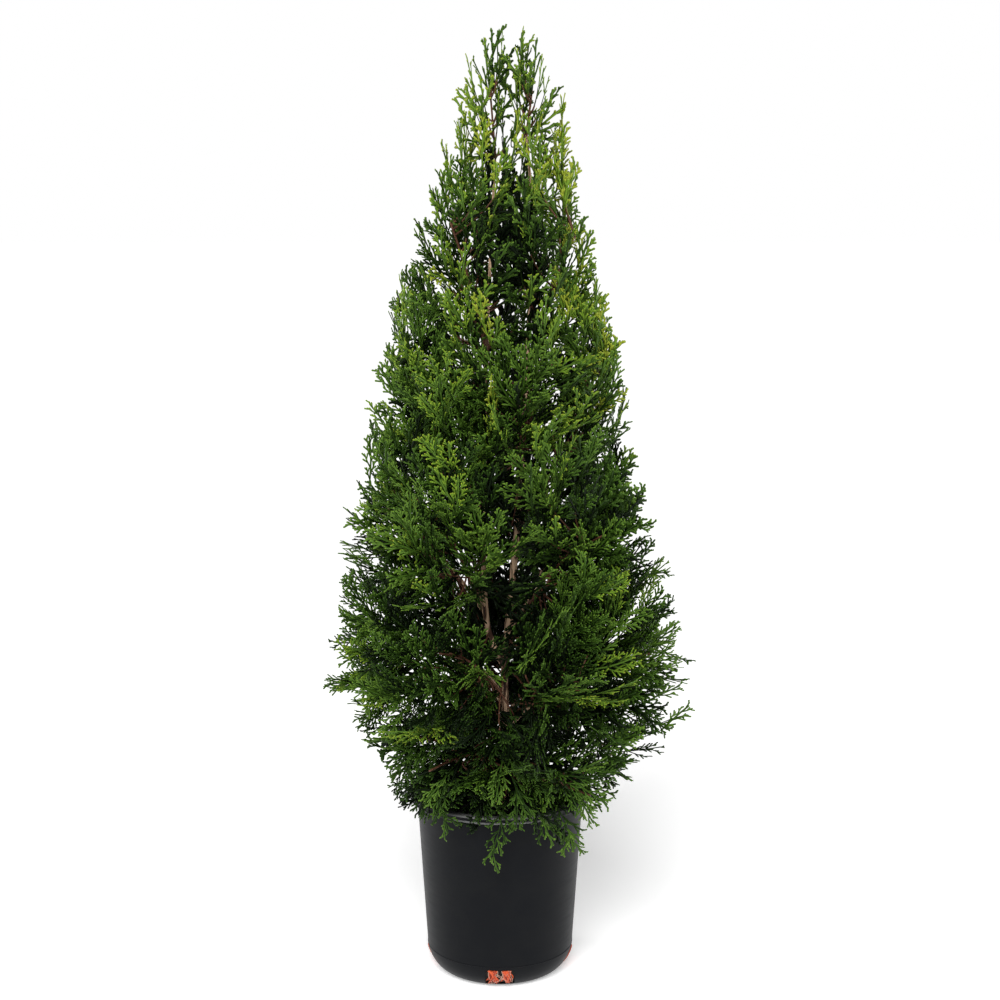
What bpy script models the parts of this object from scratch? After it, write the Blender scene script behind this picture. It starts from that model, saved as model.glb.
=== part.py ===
"""Potted emerald green arborvitae: a narrow conical evergreen in a black nursery pot.

Metres, +Z up. The origin is the centre of the pot's flat underside, the front is -Y, and
azimuths are measured from the front towards +X. The trunk and a second leader rise out of
the potting mix. Boughs grow on them in tiers, and each bough carries one mass of foliage:
a stem with flat, toothed sprays, kept inside that mass's own wedge of the crown.
"""

import math
import random
from collections import namedtuple

import bmesh
import bpy
from mathutils import Matrix, Vector
from mathutils.bvhtree import BVHTree

# Fit. Foliage keeps KEEP_OUT from limbs and pot, and each mass CELL_MARGIN inside its own space.
CLEARANCE = 0.0003
KEEP_OUT = 0.0008
CELL_MARGIN = 0.0012

# Pot
POT_HEIGHT = 0.255
LIP_RADIUS = 0.125
LIP_HEIGHT = 0.0095
LIP_ROUND = 0.002
WALL_TOP_RADIUS = 0.115
WALL_FOOT_RADIUS = 0.1015
WALL = 0.0024
CORNER_WIDTH = 0.030
CORNER_HEIGHT = 0.042
CORNER_STEPS = 4
POT_SIDES = 32
SHARP_ANGLE = 35

# Drain holes, which cut the rounded foot of the wall
DRAIN_NAMES = ("front", "right", "back", "left")
DRAIN_WIDTH = 0.040
DRAIN_BOTTOM_Z = 0.004
DRAIN_TOP_Z = 0.030
DRAIN_ROUND = 0.004
DRAIN_DEPTH = 0.078
ROOT_INSET = 0.0006

# Potting mix
MIX_EDGE_Z = 0.226
MIX_CENTRE_Z = 0.232
MIX_FLAT_RADIUS = 0.030

# Trunk and second leader, as guide points (x, y, z)
TRUNK_GUIDE = (
    (0.0045, 0.004, MIX_CENTRE_Z + CLEARANCE),
    (0.0065, 0.005, 0.358),
    (0.0075, 0.006, 0.436),
    (0.0197, 0.008, 0.579),
    (0.0290, 0.007, 0.697),
    (0.0367, 0.006, 0.865),
    (0.0442, 0.002, 1.010),
    (0.0346, 0.000, 1.150),
)
TRUNK_FOOT_RADIUS = 0.0075
TRUNK_TIP_RADIUS = 0.0016
TRUNK_SIDES = 8
TRUNK_STEPS = 14
FLARE_RADIUS = 0.0030
FLARE_HEIGHT = 0.022
LEADER_GUIDE = (
    (0.0075, 0.006, 0.425),
    (-0.0171, -0.010, 0.488),
    (-0.0224, -0.014, 0.606),
    (-0.0205, -0.013, 0.730),
    (-0.0180, -0.010, 0.862),
    (-0.0125, -0.007, 0.990),
    (-0.0060, -0.004, 1.120),
)
LEADER_FOOT_RADIUS = 0.0050
LEADER_TIP_RADIUS = 0.0015
LEADER_SIDES = 6
LEADER_STEPS = 10
LEADER_BOUGHS_Z = 0.465
UPRIGHT_TAPER = 0.75

# Crown: its radius is a power curve above the widest level, with a blunt top, and part of an ellipse below it
CROWN_AXIS = Vector((0.010, 0.0, 0.0))
CROWN_RADIUS = 0.246
CROWN_WIDEST_Z = 0.440
CROWN_TOP_Z = 1.285
CROWN_TAPER = 0.68
BLUNT_RADIUS = 0.080
BLUNT_Z = 1.085
CROWN_UNDERCUT = 0.300
CROWN_BOTTOM_Z = 0.190
CROWN_OVERSHOOT = 0.007

# The crown is open along its front below this height, where the trunk shows
FRONT_GAP_AZIMUTH = 5
FRONT_GAP_HALF = 0.009
FRONT_GAP_TOP_Z = 0.60

# Tiers of the crown. A tier's floor is the cone z = floor_z + slope * radius, and its ceiling is the next floor.
# edges: the azimuths between its masses. root_z: where the first bough leaves its limb. step_z: rise from one
# bough to the next. rise: the bough's slope. reach: the bough's tip as a share of the way to the stem's far end.
# blade_rise: slope of the sprays, lowest and highest. bend: how far a spray curls up (or down) along its length.
Tier = namedtuple("Tier", "name edges floor_z slope root_z step_z rise reach blade_rise bend sprays teeth length width")
TIERS = (
    Tier("skirt", (4, 76, 148, 220, 292), 0.10, 0.00, 0.262, 0.01, 20, 0.36, (-45, 30), -0.25, 10, 3, 0.100, 0.088),
    Tier("lower", (4, 56, 110, 165, 235, 300), 0.315, 0.3, 0.335, 0.01, 42, 0.36, (0, 55), 0.1, 9, 4, 0.122, 0.102),
    Tier("middle", (8, 84, 150, 225, 296), 0.385, 0.9, 0.475, 0.01, 56, 0.34, (30, 74), 0.2, 10, 4, 0.125, 0.096),
    Tier("upper", (52, 142, 232, 322), 0.52, 1.5, 0.610, 0.016, 66, 0.32, (45, 80), 0.20, 10, 4, 0.120, 0.084),
    Tier("shoulder", (10, 130, 250), 0.69, 2.0, 0.820, 0.020, 76, 0.0, (55, 85), 0.15, 11, 3, 0.105, 0.066),
    Tier("crest", (0, 180), 1.09, 1.00, 0.0, 0.0, 80, 0.0, (60, 88), 0.10, 8, 3, 0.080, 0.052),
)
MASSES_WITH_BOUGHS = ("skirt", "lower", "middle", "upper")
BOUGH_FOOT_RADIUS = 0.0032
BOUGH_TIP_RADIUS = 0.0020
BOUGH_SIDES = 5
BOUGH_STEPS = 3
BOUGH_SAG = 1.0
PATH_STEP = 0.004
AZIMUTH_JITTER = 4
CREST_STEM_TOP_Z = 1.193
CREST_STEM_OUT = 0.006

# Stems of the masses
STEM_SHARE = 0.80
STEM_TIP_RADIUS = 0.0013
STEM_SIDES = 4
STEM_STEPS = 3

# Sprays. LAYERS are the shares of the crown's radius that their tips reach. A stalk's first faces may cross
# its stem and other stalks, and no other face may.
LAYERS = (1.0, 0.78, 1.0, 0.55)
STALK_RADIUS = 0.0010
STALK_HEIGHT = 0.0018
STALK_SHORTEST = 0.010
STALK_LONGEST = 0.105
STALK_SEAT = 0.5
STALK_FACES = 7
STALK_PLACES = 20
STALK_TURN = 0.2
BLADE_THICKNESS = 0.022
BLADE_THINNING = 0.45
BLADE_RIB = 0.060
BLADE_RIB_TAPER = 0.75
BLADE_TIP = 0.14
BLADE_LEAN = 40
BLADE_YAW = 38
BLADE_ROLL = 42
BLADE_FULLNESS = (0.30, 0.88)
TOOTH_UNEVEN = 0.07
TOOTH_DROOP = 0.06
END_SUNK = 0.004
END_STALK = 0.008
LARGEST = 1.15
SMALLEST = 0.60
LEVEL_JITTER = 0.3
TRIES = 1800
CHOICES = 6
RETRIES = 6
WELD = 1e-7
SEED = 41

MATERIALS = {
    "pot_plastic": ((0.014, 0.015, 0.017), 0.42),
    "potting_mix": ((0.030, 0.020, 0.013), 0.95),
    "root_fibre": ((0.62, 0.16, 0.05), 0.80),
    "bark": ((0.23, 0.11, 0.06), 0.85),
    "foliage": ((0.055, 0.170, 0.028), 0.62),
}


def clear_scene():
    for obj in list(bpy.data.objects):
        bpy.data.objects.remove(obj)


def material(name):
    found = bpy.data.materials.get(name)
    if found:
        return found
    colour, roughness = MATERIALS[name]
    made = bpy.data.materials.new(name)
    made.use_nodes = True
    shader = made.node_tree.nodes["Principled BSDF"]
    shader.inputs["Base Color"].default_value = (*colour, 1.0)
    shader.inputs["Roughness"].default_value = roughness
    shader.inputs["Metallic"].default_value = 0.0
    return made


def add_object(name, mesh, finish, collection=None):
    mesh.materials.append(material(finish))
    obj = bpy.data.objects.new(name, mesh)
    (collection or bpy.context.scene.collection).objects.link(obj)
    return obj


def outward(azimuth):
    """Horizontal unit vector: azimuth 0 points to the front, a quarter turn to the right."""
    return Vector((math.sin(azimuth), -math.cos(azimuth), 0.0))


def crown_radius(z):
    if z >= CROWN_WIDEST_Z:
        left = max(CROWN_TOP_Z - z, 0.0) / (CROWN_TOP_Z - CROWN_WIDEST_Z)
        climb = max(z - BLUNT_Z, 0.0) / (CROWN_TOP_Z - BLUNT_Z)
        blunt = BLUNT_RADIUS * math.sqrt(max(1.0 - climb * climb, 0.0))
        return max(CROWN_RADIUS * left**CROWN_TAPER, blunt)
    drop = (CROWN_WIDEST_Z - z) / CROWN_UNDERCUT
    return CROWN_RADIUS * math.sqrt(max(1.0 - drop * drop, 0.0))


def arc(centre_r, centre_z, width, height, start, end, steps):
    """Points (r, z) of part of an ellipse, angles in degrees."""
    points = []
    for i in range(steps + 1):
        angle = math.radians(start + (end - start) * i / steps)
        points.append((centre_r + width * math.cos(angle), centre_z + height * math.sin(angle)))
    return points


def turned_mesh(name, profile, sides):
    """A closed solid of revolution from a profile of (r, z), listed from the axis outwards and back to the axis."""
    bm = bmesh.new()
    verts = [bm.verts.new((r, 0.0, z)) for r, z in profile]
    edges = [bm.edges.new(pair) for pair in zip(verts, verts[1:])]
    bmesh.ops.spin(
        bm, geom=verts + edges, axis=(0, 0, 1), cent=(0, 0, 0), steps=sides, angle=math.tau, use_merge=True
    )
    bmesh.ops.remove_doubles(bm, verts=bm.verts, dist=1e-5)
    bmesh.ops.recalc_face_normals(bm, faces=bm.faces)
    mesh = bpy.data.meshes.new(name)
    bm.to_mesh(mesh)
    bm.free()
    mesh.shade_smooth()
    mesh.set_sharp_from_angle(angle=math.radians(SHARP_ANGLE))
    return mesh


def foot_profile(inset):
    """The pot's rounded foot from the axis to the wall, as (r, z), moved inwards by inset."""
    corner = arc(
        WALL_FOOT_RADIUS - CORNER_WIDTH,
        CORNER_HEIGHT,
        CORNER_WIDTH - inset,
        CORNER_HEIGHT - inset,
        -90,
        0,
        CORNER_STEPS,
    )
    return [(0.0, inset), *corner]


def wall_radius(z):
    """The pot wall's outer radius above its rounded foot."""
    share = (z - CORNER_HEIGHT) / (POT_HEIGHT - CORNER_HEIGHT)
    return WALL_FOOT_RADIUS + (WALL_TOP_RADIUS - WALL_FOOT_RADIUS) * share


def pot_profile():
    lip_bottom = POT_HEIGHT - LIP_HEIGHT
    outside = [
        *foot_profile(0.0),
        (WALL_TOP_RADIUS, POT_HEIGHT - WALL),
        (LIP_RADIUS - WALL, POT_HEIGHT - WALL),
        (LIP_RADIUS - WALL, lip_bottom),
        (LIP_RADIUS, lip_bottom),
    ]
    lip = arc(LIP_RADIUS - LIP_ROUND, POT_HEIGHT - LIP_ROUND, LIP_ROUND, LIP_ROUND, 0, 90, 1)
    inner_top = WALL_TOP_RADIUS - WALL
    inner_lip = arc(inner_top + LIP_ROUND, POT_HEIGHT - LIP_ROUND, LIP_ROUND, LIP_ROUND, 90, 180, 1)
    return [*outside, *lip, *inner_lip, *reversed(foot_profile(WALL))]


def drain_cutter(name, index, inset, collection):
    """A box with rounded edges, radial to the pot, where one drain hole is. It's a helper and isn't rendered."""
    bm = bmesh.new()
    bmesh.ops.create_cube(bm, size=1.0)
    height = DRAIN_TOP_Z - DRAIN_BOTTOM_Z - 2 * inset
    size = Matrix.Diagonal((DRAIN_WIDTH - 2 * inset, DRAIN_DEPTH, height, 1.0))
    middle_r = WALL_FOOT_RADIUS - CORNER_WIDTH / 2
    place = Matrix.Translation((0.0, -middle_r, (DRAIN_TOP_Z + DRAIN_BOTTOM_Z) / 2))
    turn = Matrix.Rotation(math.tau * index / len(DRAIN_NAMES), 4, "Z")
    bmesh.ops.transform(bm, matrix=place @ size, verts=bm.verts)
    along = [e for e in bm.edges if abs((e.verts[0].co - e.verts[1].co).y) > DRAIN_DEPTH / 2]
    bmesh.ops.bevel(bm, geom=along, offset=DRAIN_ROUND, segments=2, profile=0.5, affect="EDGES")
    bmesh.ops.transform(bm, matrix=turn, verts=bm.verts)
    bmesh.ops.recalc_face_normals(bm, faces=bm.faces)
    mesh = bpy.data.meshes.new(name)
    bm.to_mesh(mesh)
    bm.free()
    cutter = bpy.data.objects.new(name, mesh)
    cutter.hide_render = True
    cutter.display_type = "WIRE"
    collection.objects.link(cutter)
    return cutter


def add_boolean(obj, operation, collection=None, other=None):
    cut = obj.modifiers.new(operation.lower(), "BOOLEAN")
    cut.operation = operation
    cut.solver = "EXACT"
    if collection:
        cut.operand_type = "COLLECTION"
        cut.collection = collection
    else:
        cut.object = other


def helper_collection(name):
    made = bpy.data.collections.new(name)
    bpy.context.scene.collection.children.link(made)
    return made


def make_pot():
    """The thin-walled pot with its turned-down lip and the drain holes round its foot."""
    holes = helper_collection("drain_cutters")
    for index, where in enumerate(DRAIN_NAMES):
        drain_cutter(f"drain_cutter_{where}", index, 0.0, holes)
    pot = add_object("pot", turned_mesh("pot", pot_profile(), POT_SIDES), "pot_plastic")
    add_boolean(pot, "DIFFERENCE", collection=holes)


def make_root_mats():
    """The felt of fine roots that fills each drain hole, just inside the wall's face."""
    helpers = helper_collection("root_helpers")
    outer = foot_profile(ROOT_INSET)[1:]
    inner = foot_profile(WALL)[1:]
    ring = [*outer, *reversed(inner), outer[0]]
    for index, where in enumerate(DRAIN_NAMES):
        bounds = drain_cutter(f"root_bounds_{where}", index, ROOT_INSET, helpers)
        mat = add_object(f"root_mat_{where}", turned_mesh("root_mat", ring, POT_SIDES), "root_fibre")
        add_boolean(mat, "INTERSECT", other=bounds)


def make_potting_mix():
    """The mix that fills the pot, with a low mound round the trunk."""
    inset = WALL + CLEARANCE
    edge_r = wall_radius(MIX_EDGE_Z) - inset - CLEARANCE
    profile = [*foot_profile(inset), (edge_r, MIX_EDGE_Z), (MIX_FLAT_RADIUS, MIX_CENTRE_Z), (0.0, MIX_CENTRE_Z)]
    add_object("potting_mix", turned_mesh("potting_mix", profile, POT_SIDES), "potting_mix")


def smooth_point(points, share):
    """A point of the Catmull-Rom curve through evenly spread points, at share 0 to 1 of its length."""
    place = min(max(share, 0.0), 1.0) * (len(points) - 1)
    i = min(int(place), len(points) - 2)
    before = points[max(i - 1, 0)]
    after = points[min(i + 2, len(points) - 1)]
    a, b, t = points[i], points[i + 1], place - i
    return (
        a * 2
        + (b - before) * t
        + (before * 2 - a * 5 + b * 4 - after) * t**2
        + (a * 3 - before - b * 3 + after) * t**3
    ) / 2


class Limb:
    """A tapering limb: its centre points and radii. A point of it can be asked for by height."""

    def __init__(self, points, radii):
        self.points = points
        self.radii = radii

    def at_height(self, z):
        """(centre, unit direction, radius) where the limb passes height z."""
        for a, b, ra, rb in zip(self.points, self.points[1:], self.radii, self.radii[1:]):
            if z <= b.z or b is self.points[-1]:
                share = min(max((z - a.z) / (b.z - a.z), 0.0), 1.0)
                return a.lerp(b, share), (b - a).normalized(), ra + (rb - ra) * share

    def tip(self):
        return self.points[-1], (self.points[-1] - self.points[-2]).normalized(), self.radii[-1]


def upright_limb(guide, foot_radius, tip_radius, steps, flare=0.0):
    """A limb that climbs through guide points, with a flare of extra radius at its foot."""
    guide = [Vector(point) for point in guide]
    foot_z, top_z = guide[0].z, guide[-1].z
    points = [smooth_point(guide, i / steps) for i in range(steps + 1)]
    if flare:
        points[1:1] = [points[0].lerp(points[1], FLARE_HEIGHT * k / (points[1].z - foot_z)) for k in (0.4, 1.0)]
    radii = []
    for point in points:
        share = (point.z - foot_z) / (top_z - foot_z)
        swell = flare * max(1.0 - (point.z - foot_z) / FLARE_HEIGHT, 0.0) ** 2
        radii.append(foot_radius + (tip_radius - foot_radius) * share**UPRIGHT_TAPER + swell)
    return Limb(points, radii)


def limb_rings(limb, sides, grow=0.0):
    """Rings of vertices square to the limb, each turned with its neighbour so that the skin doesn't twist."""
    points = limb.points
    tangents = [
        (points[min(i + 1, len(points) - 1)] - points[max(i - 1, 0)]).normalized() for i in range(len(points))
    ]
    side = tangents[0].orthogonal().normalized()
    rings = []
    for centre, tangent, radius in zip(points, tangents, limb.radii):
        side = (side - tangent * side.dot(tangent)).normalized()
        other = tangent.cross(side)
        ring = []
        for k in range(sides):
            angle = math.tau * k / sides
            ring.append(centre + (side * math.cos(angle) + other * math.sin(angle)) * (radius + grow))
        rings.append(ring)
    return rings, tangents


def cope(end, direction, host_centre, host_axis, host_radius, own_radius):
    """Slides the points of a limb's end along its direction until they lie just off the limb that bears it.

    The end's faces are chords of the bearing limb's round side, from the end's centre to its rim.
    """
    chord_depth = own_radius**2 / (8 * host_radius)
    seat = host_radius + CLEARANCE + chord_depth
    flat_direction = direction - host_axis * direction.dot(host_axis)
    moved = []
    for vertex in end:
        reach = vertex - host_centre
        flat = reach - host_axis * reach.dot(host_axis)
        a = flat_direction.length_squared
        b = flat.dot(flat_direction)
        c = flat.length_squared - seat**2
        moved.append(vertex + direction * ((math.sqrt(max(b * b - a * c, 0.0)) - b) / a))
    return moved


def skin(rings, foot=None):
    """Vertices and faces of a closed tube over rings of equal count. With a foot, its first end is a fan round that."""
    sides = len(rings[0])
    verts = [v for ring in rings for v in ring]
    if foot is None:
        faces = [tuple(reversed(range(sides)))]
    else:
        verts.append(foot)
        faces = [(len(verts) - 1, (k + 1) % sides, k) for k in range(sides)]
    for i in range(len(rings) - 1):
        for k in range(sides):
            after = (k + 1) % sides
            faces.append((i * sides + k, i * sides + after, (i + 1) * sides + after, (i + 1) * sides + k))
    last = (len(rings) - 1) * sides
    faces.append(tuple(range(last, last + sides)))
    return verts, faces


def mesh_of(name, verts, faces):
    mesh = bpy.data.meshes.new(name)
    mesh.from_pydata([tuple(v) for v in verts], [], faces)
    bm = bmesh.new()
    bm.from_mesh(mesh)
    bmesh.ops.recalc_face_normals(bm, faces=bm.faces)
    bm.to_mesh(mesh)
    bm.free()
    return mesh


def limb_shape(limb, sides, host=None, grow=0.0):
    """Vertices and faces of a limb, coped to its host (centre, axis, radius) where it has one."""
    rings, tangents = limb_rings(limb, sides, grow)
    foot = None
    if host:
        *rings[0], foot = cope([*rings[0], limb.points[0]], tangents[0], *host, limb.radii[0])
    return skin(rings, foot)


class KeepOut:
    """The solids that foliage must stay clear of, as slightly swollen surfaces."""

    def __init__(self):
        self.trees = []

    def add(self, verts, faces):
        self.trees.append(BVHTree.FromPolygons([tuple(v) for v in verts], faces))

    def meets(self, verts, faces):
        tree = BVHTree.FromPolygons([tuple(v) for v in verts], faces)
        return any(tree.overlap(other) for other in self.trees)


class Cell:
    """One mass's own space: a wedge of the crown between two tier floors."""

    def __init__(self, tier_index, index):
        self.tier = TIERS[tier_index]
        self.above = TIERS[tier_index + 1] if tier_index + 1 < len(TIERS) else None
        edges = self.tier.edges
        start, end = edges[index], edges[(index + 1) % len(edges)]
        self.half = math.radians((end - start) % 360) / 2
        self.azimuth = math.radians(start) + self.half
        self.gap = outward(math.radians(FRONT_GAP_AZIMUTH))

    def span(self, layer):
        """The heights between which a layer of the crown lies in this cell."""
        bounds = []
        for tier in (self.tier, self.above):
            low, high = CROWN_BOTTOM_Z, CROWN_TOP_Z
            while tier and high - low > 0.001:
                z = (low + high) / 2
                above = z > tier.floor_z + tier.slope * crown_radius(z) * layer
                low, high = (low, z) if above else (z, high)
            bounds.append(high)
        return bounds

    def holds(self, point):
        offset = point - CROWN_AXIS
        radius = math.hypot(offset.x, offset.y)
        turn = math.atan2(offset.x, -offset.y) - self.azimuth
        turn = abs((turn + math.pi) % math.tau - math.pi)
        if turn > self.half or radius * math.sin(min(self.half - turn, math.pi / 2)) < CELL_MARGIN:
            return False
        if point.z < max(self.tier.floor_z + self.tier.slope * radius, CROWN_BOTTOM_Z) + CELL_MARGIN:
            return False
        if self.above and point.z > self.above.floor_z + self.above.slope * radius - CELL_MARGIN:
            return False
        if point.z < FRONT_GAP_TOP_Z and offset.dot(self.gap) > 0:
            if abs(offset.x * self.gap.y - offset.y * self.gap.x) < FRONT_GAP_HALF:
                return False
        return radius < crown_radius(point.z) + CROWN_OVERSHOOT

    def holds_all(self, verts, faces):
        for face in faces:
            corners = [verts[i] for i in face]
            if not all(self.holds(corner) for corner in corners):
                return False
            if not all(self.holds((a + b) / 2) for a, b in zip(corners, corners[1:] + corners[:1])):
                return False
        return True


def spray_rings(foot, base, direction, side, length, bend, teeth):
    """Three-sided rings of a spray's stalk and rib, and the rib's points, tangents, sides and ups."""
    stalk = (base - foot).normalized()
    points, tangents = [base], [direction]
    for _ in range(teeth):
        tangent = (tangents[-1] + bend / teeth).normalized()
        points.append(points[-1] + tangent * length * (1.0 - BLADE_TIP) / teeth)
        tangents.append(tangent)
    sides = [(side - tangent * side.dot(tangent)).normalized() for tangent in tangents]
    ups = [tangent.cross(across) for tangent, across in zip(tangents, sides)]
    middle = (direction + stalk).normalized()
    rings = []
    for point, tangent in ((foot, stalk), (base, middle)):
        across = direction.rotation_difference(tangent) @ side
        rings.append((point, across, tangent.cross(across), STALK_RADIUS, STALK_HEIGHT))
    for i in range(1, teeth + 1):
        done = (i - 1) / teeth
        half = length * BLADE_RIB * (1.0 - BLADE_RIB_TAPER * done)
        height = length * BLADE_THICKNESS * (1.0 - BLADE_THINNING * done)
        rings.append((points[i], sides[i], ups[i], half, height))
    return rings, points, tangents, sides, ups


def spray_shape(foot, base, direction, side, length, width, bend, teeth):
    """Triangles of a flat toothed spray on a stalk from foot to base. Its teeth lean forwards from both sides."""
    lean = math.radians(BLADE_LEAN)
    rings, points, tangents, sides, ups = spray_rings(foot, base, direction, side, length, bend, teeth)
    verts, faces = [], [(0, 1, 2)]
    for point, across, up, half, height in rings:
        verts += [point - across * half, point + up * height, point + across * half]
    for i in range(teeth + 1):
        low, high = 3 * i, 3 * (i + 1)
        faces += [(low, low + 2, high + 2), (low, high + 2, high)]
        if i == 0:
            faces += [(low, high, high + 1), (low, high + 1, low + 1)]
            faces += [(low + 1, high + 1, high + 2), (low + 1, high + 2, low + 2)]
            continue
        middle = points[i - 1].lerp(points[i], 0.5)
        start, end = BLADE_FULLNESS
        fullness = math.sin(math.pi * (start + (end - start) * (i - 0.5) / teeth))
        tooth = width / 2 * fullness / math.sin(lean)
        for sign, edge in ((-1, 0), (1, 2)):
            out = sides[i - 1] * sign * math.sin(lean) + tangents[i - 1] * math.cos(lean)
            reach = tooth * (1.0 + TOOTH_UNEVEN * sign)
            verts.append(middle + out * reach - ups[i - 1] * tooth * TOOTH_DROOP)
            end_vertex = len(verts) - 1
            faces += [
                (low + edge, end_vertex, low + 1),
                (low + 1, end_vertex, high + 1),
                (high + 1, end_vertex, high + edge),
                (low + edge, high + edge, end_vertex),
            ]
    verts.append(points[-1] + tangents[-1] * length * BLADE_TIP)
    last, tip = 3 * (teeth + 1), len(verts) - 1
    faces += [(last, last + 2, tip), (last, tip, last + 1), (last + 1, tip, last + 2)]
    return verts, faces


def folded(faces, tree):
    """Whether a spray runs through itself."""
    return any(a < b and not set(faces[a]) & set(faces[b]) for a, b in tree.overlap(tree))


def foot_on(stem, point, direction, rng):
    """Where a spray's base hangs best from a stem: near it, behind it along the spray, and sunk well in."""
    best, best_cost = None, math.inf
    for i in range(1, STALK_PLACES):
        share = (i + rng.uniform(-0.4, 0.4)) / STALK_PLACES
        reach = point - smooth_point(stem.points, share)
        cost = reach.length + max(reach.length / 3 - reach.dot(direction), 0.0)
        if cost < best_cost:
            best, best_cost = share, cost
    place = best * (len(stem.points) - 1)
    i = int(place)
    along = (stem.points[i + 1] - stem.points[i]).normalized()
    foot = stem.points[i].lerp(stem.points[i + 1], place - i)
    radius = stem.radii[i] + (stem.radii[i + 1] - stem.radii[i]) * (place - i)
    reach = point - foot
    return foot + (reach - along * reach.dot(along)).normalized() * radius * STALK_SEAT


def spray_try(cell, stem, attempt, rng):
    """One try at a spray whose tip reaches a layer of the crown, or None. Later tries are smaller."""
    tier = cell.tier
    size = LARGEST + (SMALLEST - LARGEST) * attempt / TRIES
    length, width = tier.length * size, tier.width * size
    layer = LAYERS[attempt % len(LAYERS)]
    azimuth = cell.azimuth + rng.uniform(-1, 1) * cell.half
    bottom, top = cell.span(layer)
    level = rng.random()
    z = bottom + (top - bottom) * level
    tip = CROWN_AXIS + outward(azimuth) * crown_radius(z) * layer + Vector((0, 0, z))
    if not cell.holds(tip):
        return None
    low, high = tier.blade_rise
    share = min(max(level + rng.uniform(-LEVEL_JITTER, LEVEL_JITTER), 0.0), 1.0)
    rise = math.radians(low + (high - low) * share)
    yaw = azimuth + math.radians(rng.uniform(-BLADE_YAW, BLADE_YAW))
    direction = outward(yaw) * math.cos(rise) + Vector((0, 0, math.sin(rise)))
    bend = Vector((0, 0, tier.bend))
    base = tip - (direction + bend * 0.4) * length
    foot = foot_on(stem, base, direction, rng)
    stalk = base - foot
    if not STALK_SHORTEST < stalk.length < STALK_LONGEST or stalk.normalized().dot(direction) < STALK_TURN:
        return None
    face = outward(azimuth)
    side = direction.cross(face - direction * face.dot(direction)).normalized()
    side = Matrix.Rotation(math.radians(rng.uniform(-BLADE_ROLL, BLADE_ROLL)), 3, direction) @ side
    return foot, base, direction, side, length, width, bend, tier.teeth


def end_spray(cell, stem):
    """The spray that carries a stem on beyond its end."""
    point, direction, _ = stem.tip()
    tier = cell.tier
    side = direction.cross(outward(cell.azimuth + 0.5)).normalized()
    foot, base = point - direction * END_SUNK, point + direction * END_STALK
    return foot, base, direction, side, tier.length, tier.width, Vector((0, 0, 0)), tier.teeth


def crossing(tree, others):
    """Whether a spray meets another anywhere but at their stalks."""
    return any(
        a >= STALK_FACES or b >= STALK_FACES for other in others for a, b in tree.overlap(other)
    )


def grow_mass(name, cell, stem, host, keep_out):
    """One mass of foliage. Where its sprays touch along an edge, it's grown again from another seed."""
    for retry in range(RETRIES):
        rng = random.Random(f"{SEED} {name} {retry}")
        mass = join_mass(name, cell, stem, host, keep_out, rng)
        if sound(mass.data):
            return
        bpy.data.objects.remove(mass)
    raise RuntimeError(f"{name} has no sound mesh")


def sound(mesh):
    """Whether each edge joins just two faces once points that nearly coincide are made one."""
    bm = bmesh.new()
    bm.from_mesh(mesh)
    bmesh.ops.triangulate(bm, faces=bm.faces)
    keys = [tuple(round(value / WELD) for value in vert.co) for vert in bm.verts]
    shared = {}
    for face in bm.faces:
        corners = [keys[vert.index] for vert in face.verts]
        if len(set(corners)) < 3:
            continue
        for pair in zip(corners, corners[1:] + corners[:1]):
            edge = tuple(sorted(pair))
            shared[edge] = shared.get(edge, 0) + 1
    bm.free()
    return all(count == 2 for count in shared.values())


def join_mass(name, cell, stem, host, keep_out, rng):
    """A mass's stem and the sprays that fit in its cell, joined into one solid."""
    parts = helper_collection(name + "_parts")
    verts, faces = limb_shape(stem, STEM_SIDES, host)
    whole = add_object(name, mesh_of(name, verts, faces), "foliage")
    stem_tree = BVHTree.FromPolygons([tuple(v) for v in verts], faces)
    placed, centres, choices = [], [], []
    for attempt in range(TRIES):
        if len(placed) == cell.tier.sprays:
            break
        args = end_spray(cell, stem) if attempt == 0 else spray_try(cell, stem, attempt, rng)
        if not args:
            continue
        shape = spray_shape(*args)
        if not cell.holds_all(*shape) or keep_out.meets(*shape):
            continue
        tree = BVHTree.FromPolygons([tuple(v) for v in shape[0]], shape[1])
        if folded(shape[1], tree) or any(a >= STALK_FACES for a, _ in tree.overlap(stem_tree)):
            continue
        if crossing(tree, placed):
            continue
        centre = args[1] + args[2] * args[4] / 2
        choices.append((min([(centre - other).length for other in centres], default=1.0), shape, tree, centre))
        if len(choices) < CHOICES and placed:
            continue
        _, shape, tree, centre = max(choices, key=lambda choice: choice[0])
        choices = []
        spray = add_object(f"{name}_spray_{len(placed)}", mesh_of(name, *shape), "foliage", parts)
        spray.hide_render = True
        placed.append(tree)
        centres.append(centre)
    join_parts(whole, parts)
    return whole


def join_parts(obj, parts):
    """One Boolean union of an object with a collection's objects, applied. The collection is then removed."""
    add_boolean(obj, "UNION", collection=parts)
    graph = bpy.context.evaluated_depsgraph_get()
    joined = bpy.data.meshes.new_from_object(obj.evaluated_get(graph))
    obj.modifiers.clear()
    keep_main_body(joined)
    obj.data = joined
    for part in list(parts.objects):
        bpy.data.objects.remove(part)
    bpy.data.collections.remove(parts)


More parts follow.
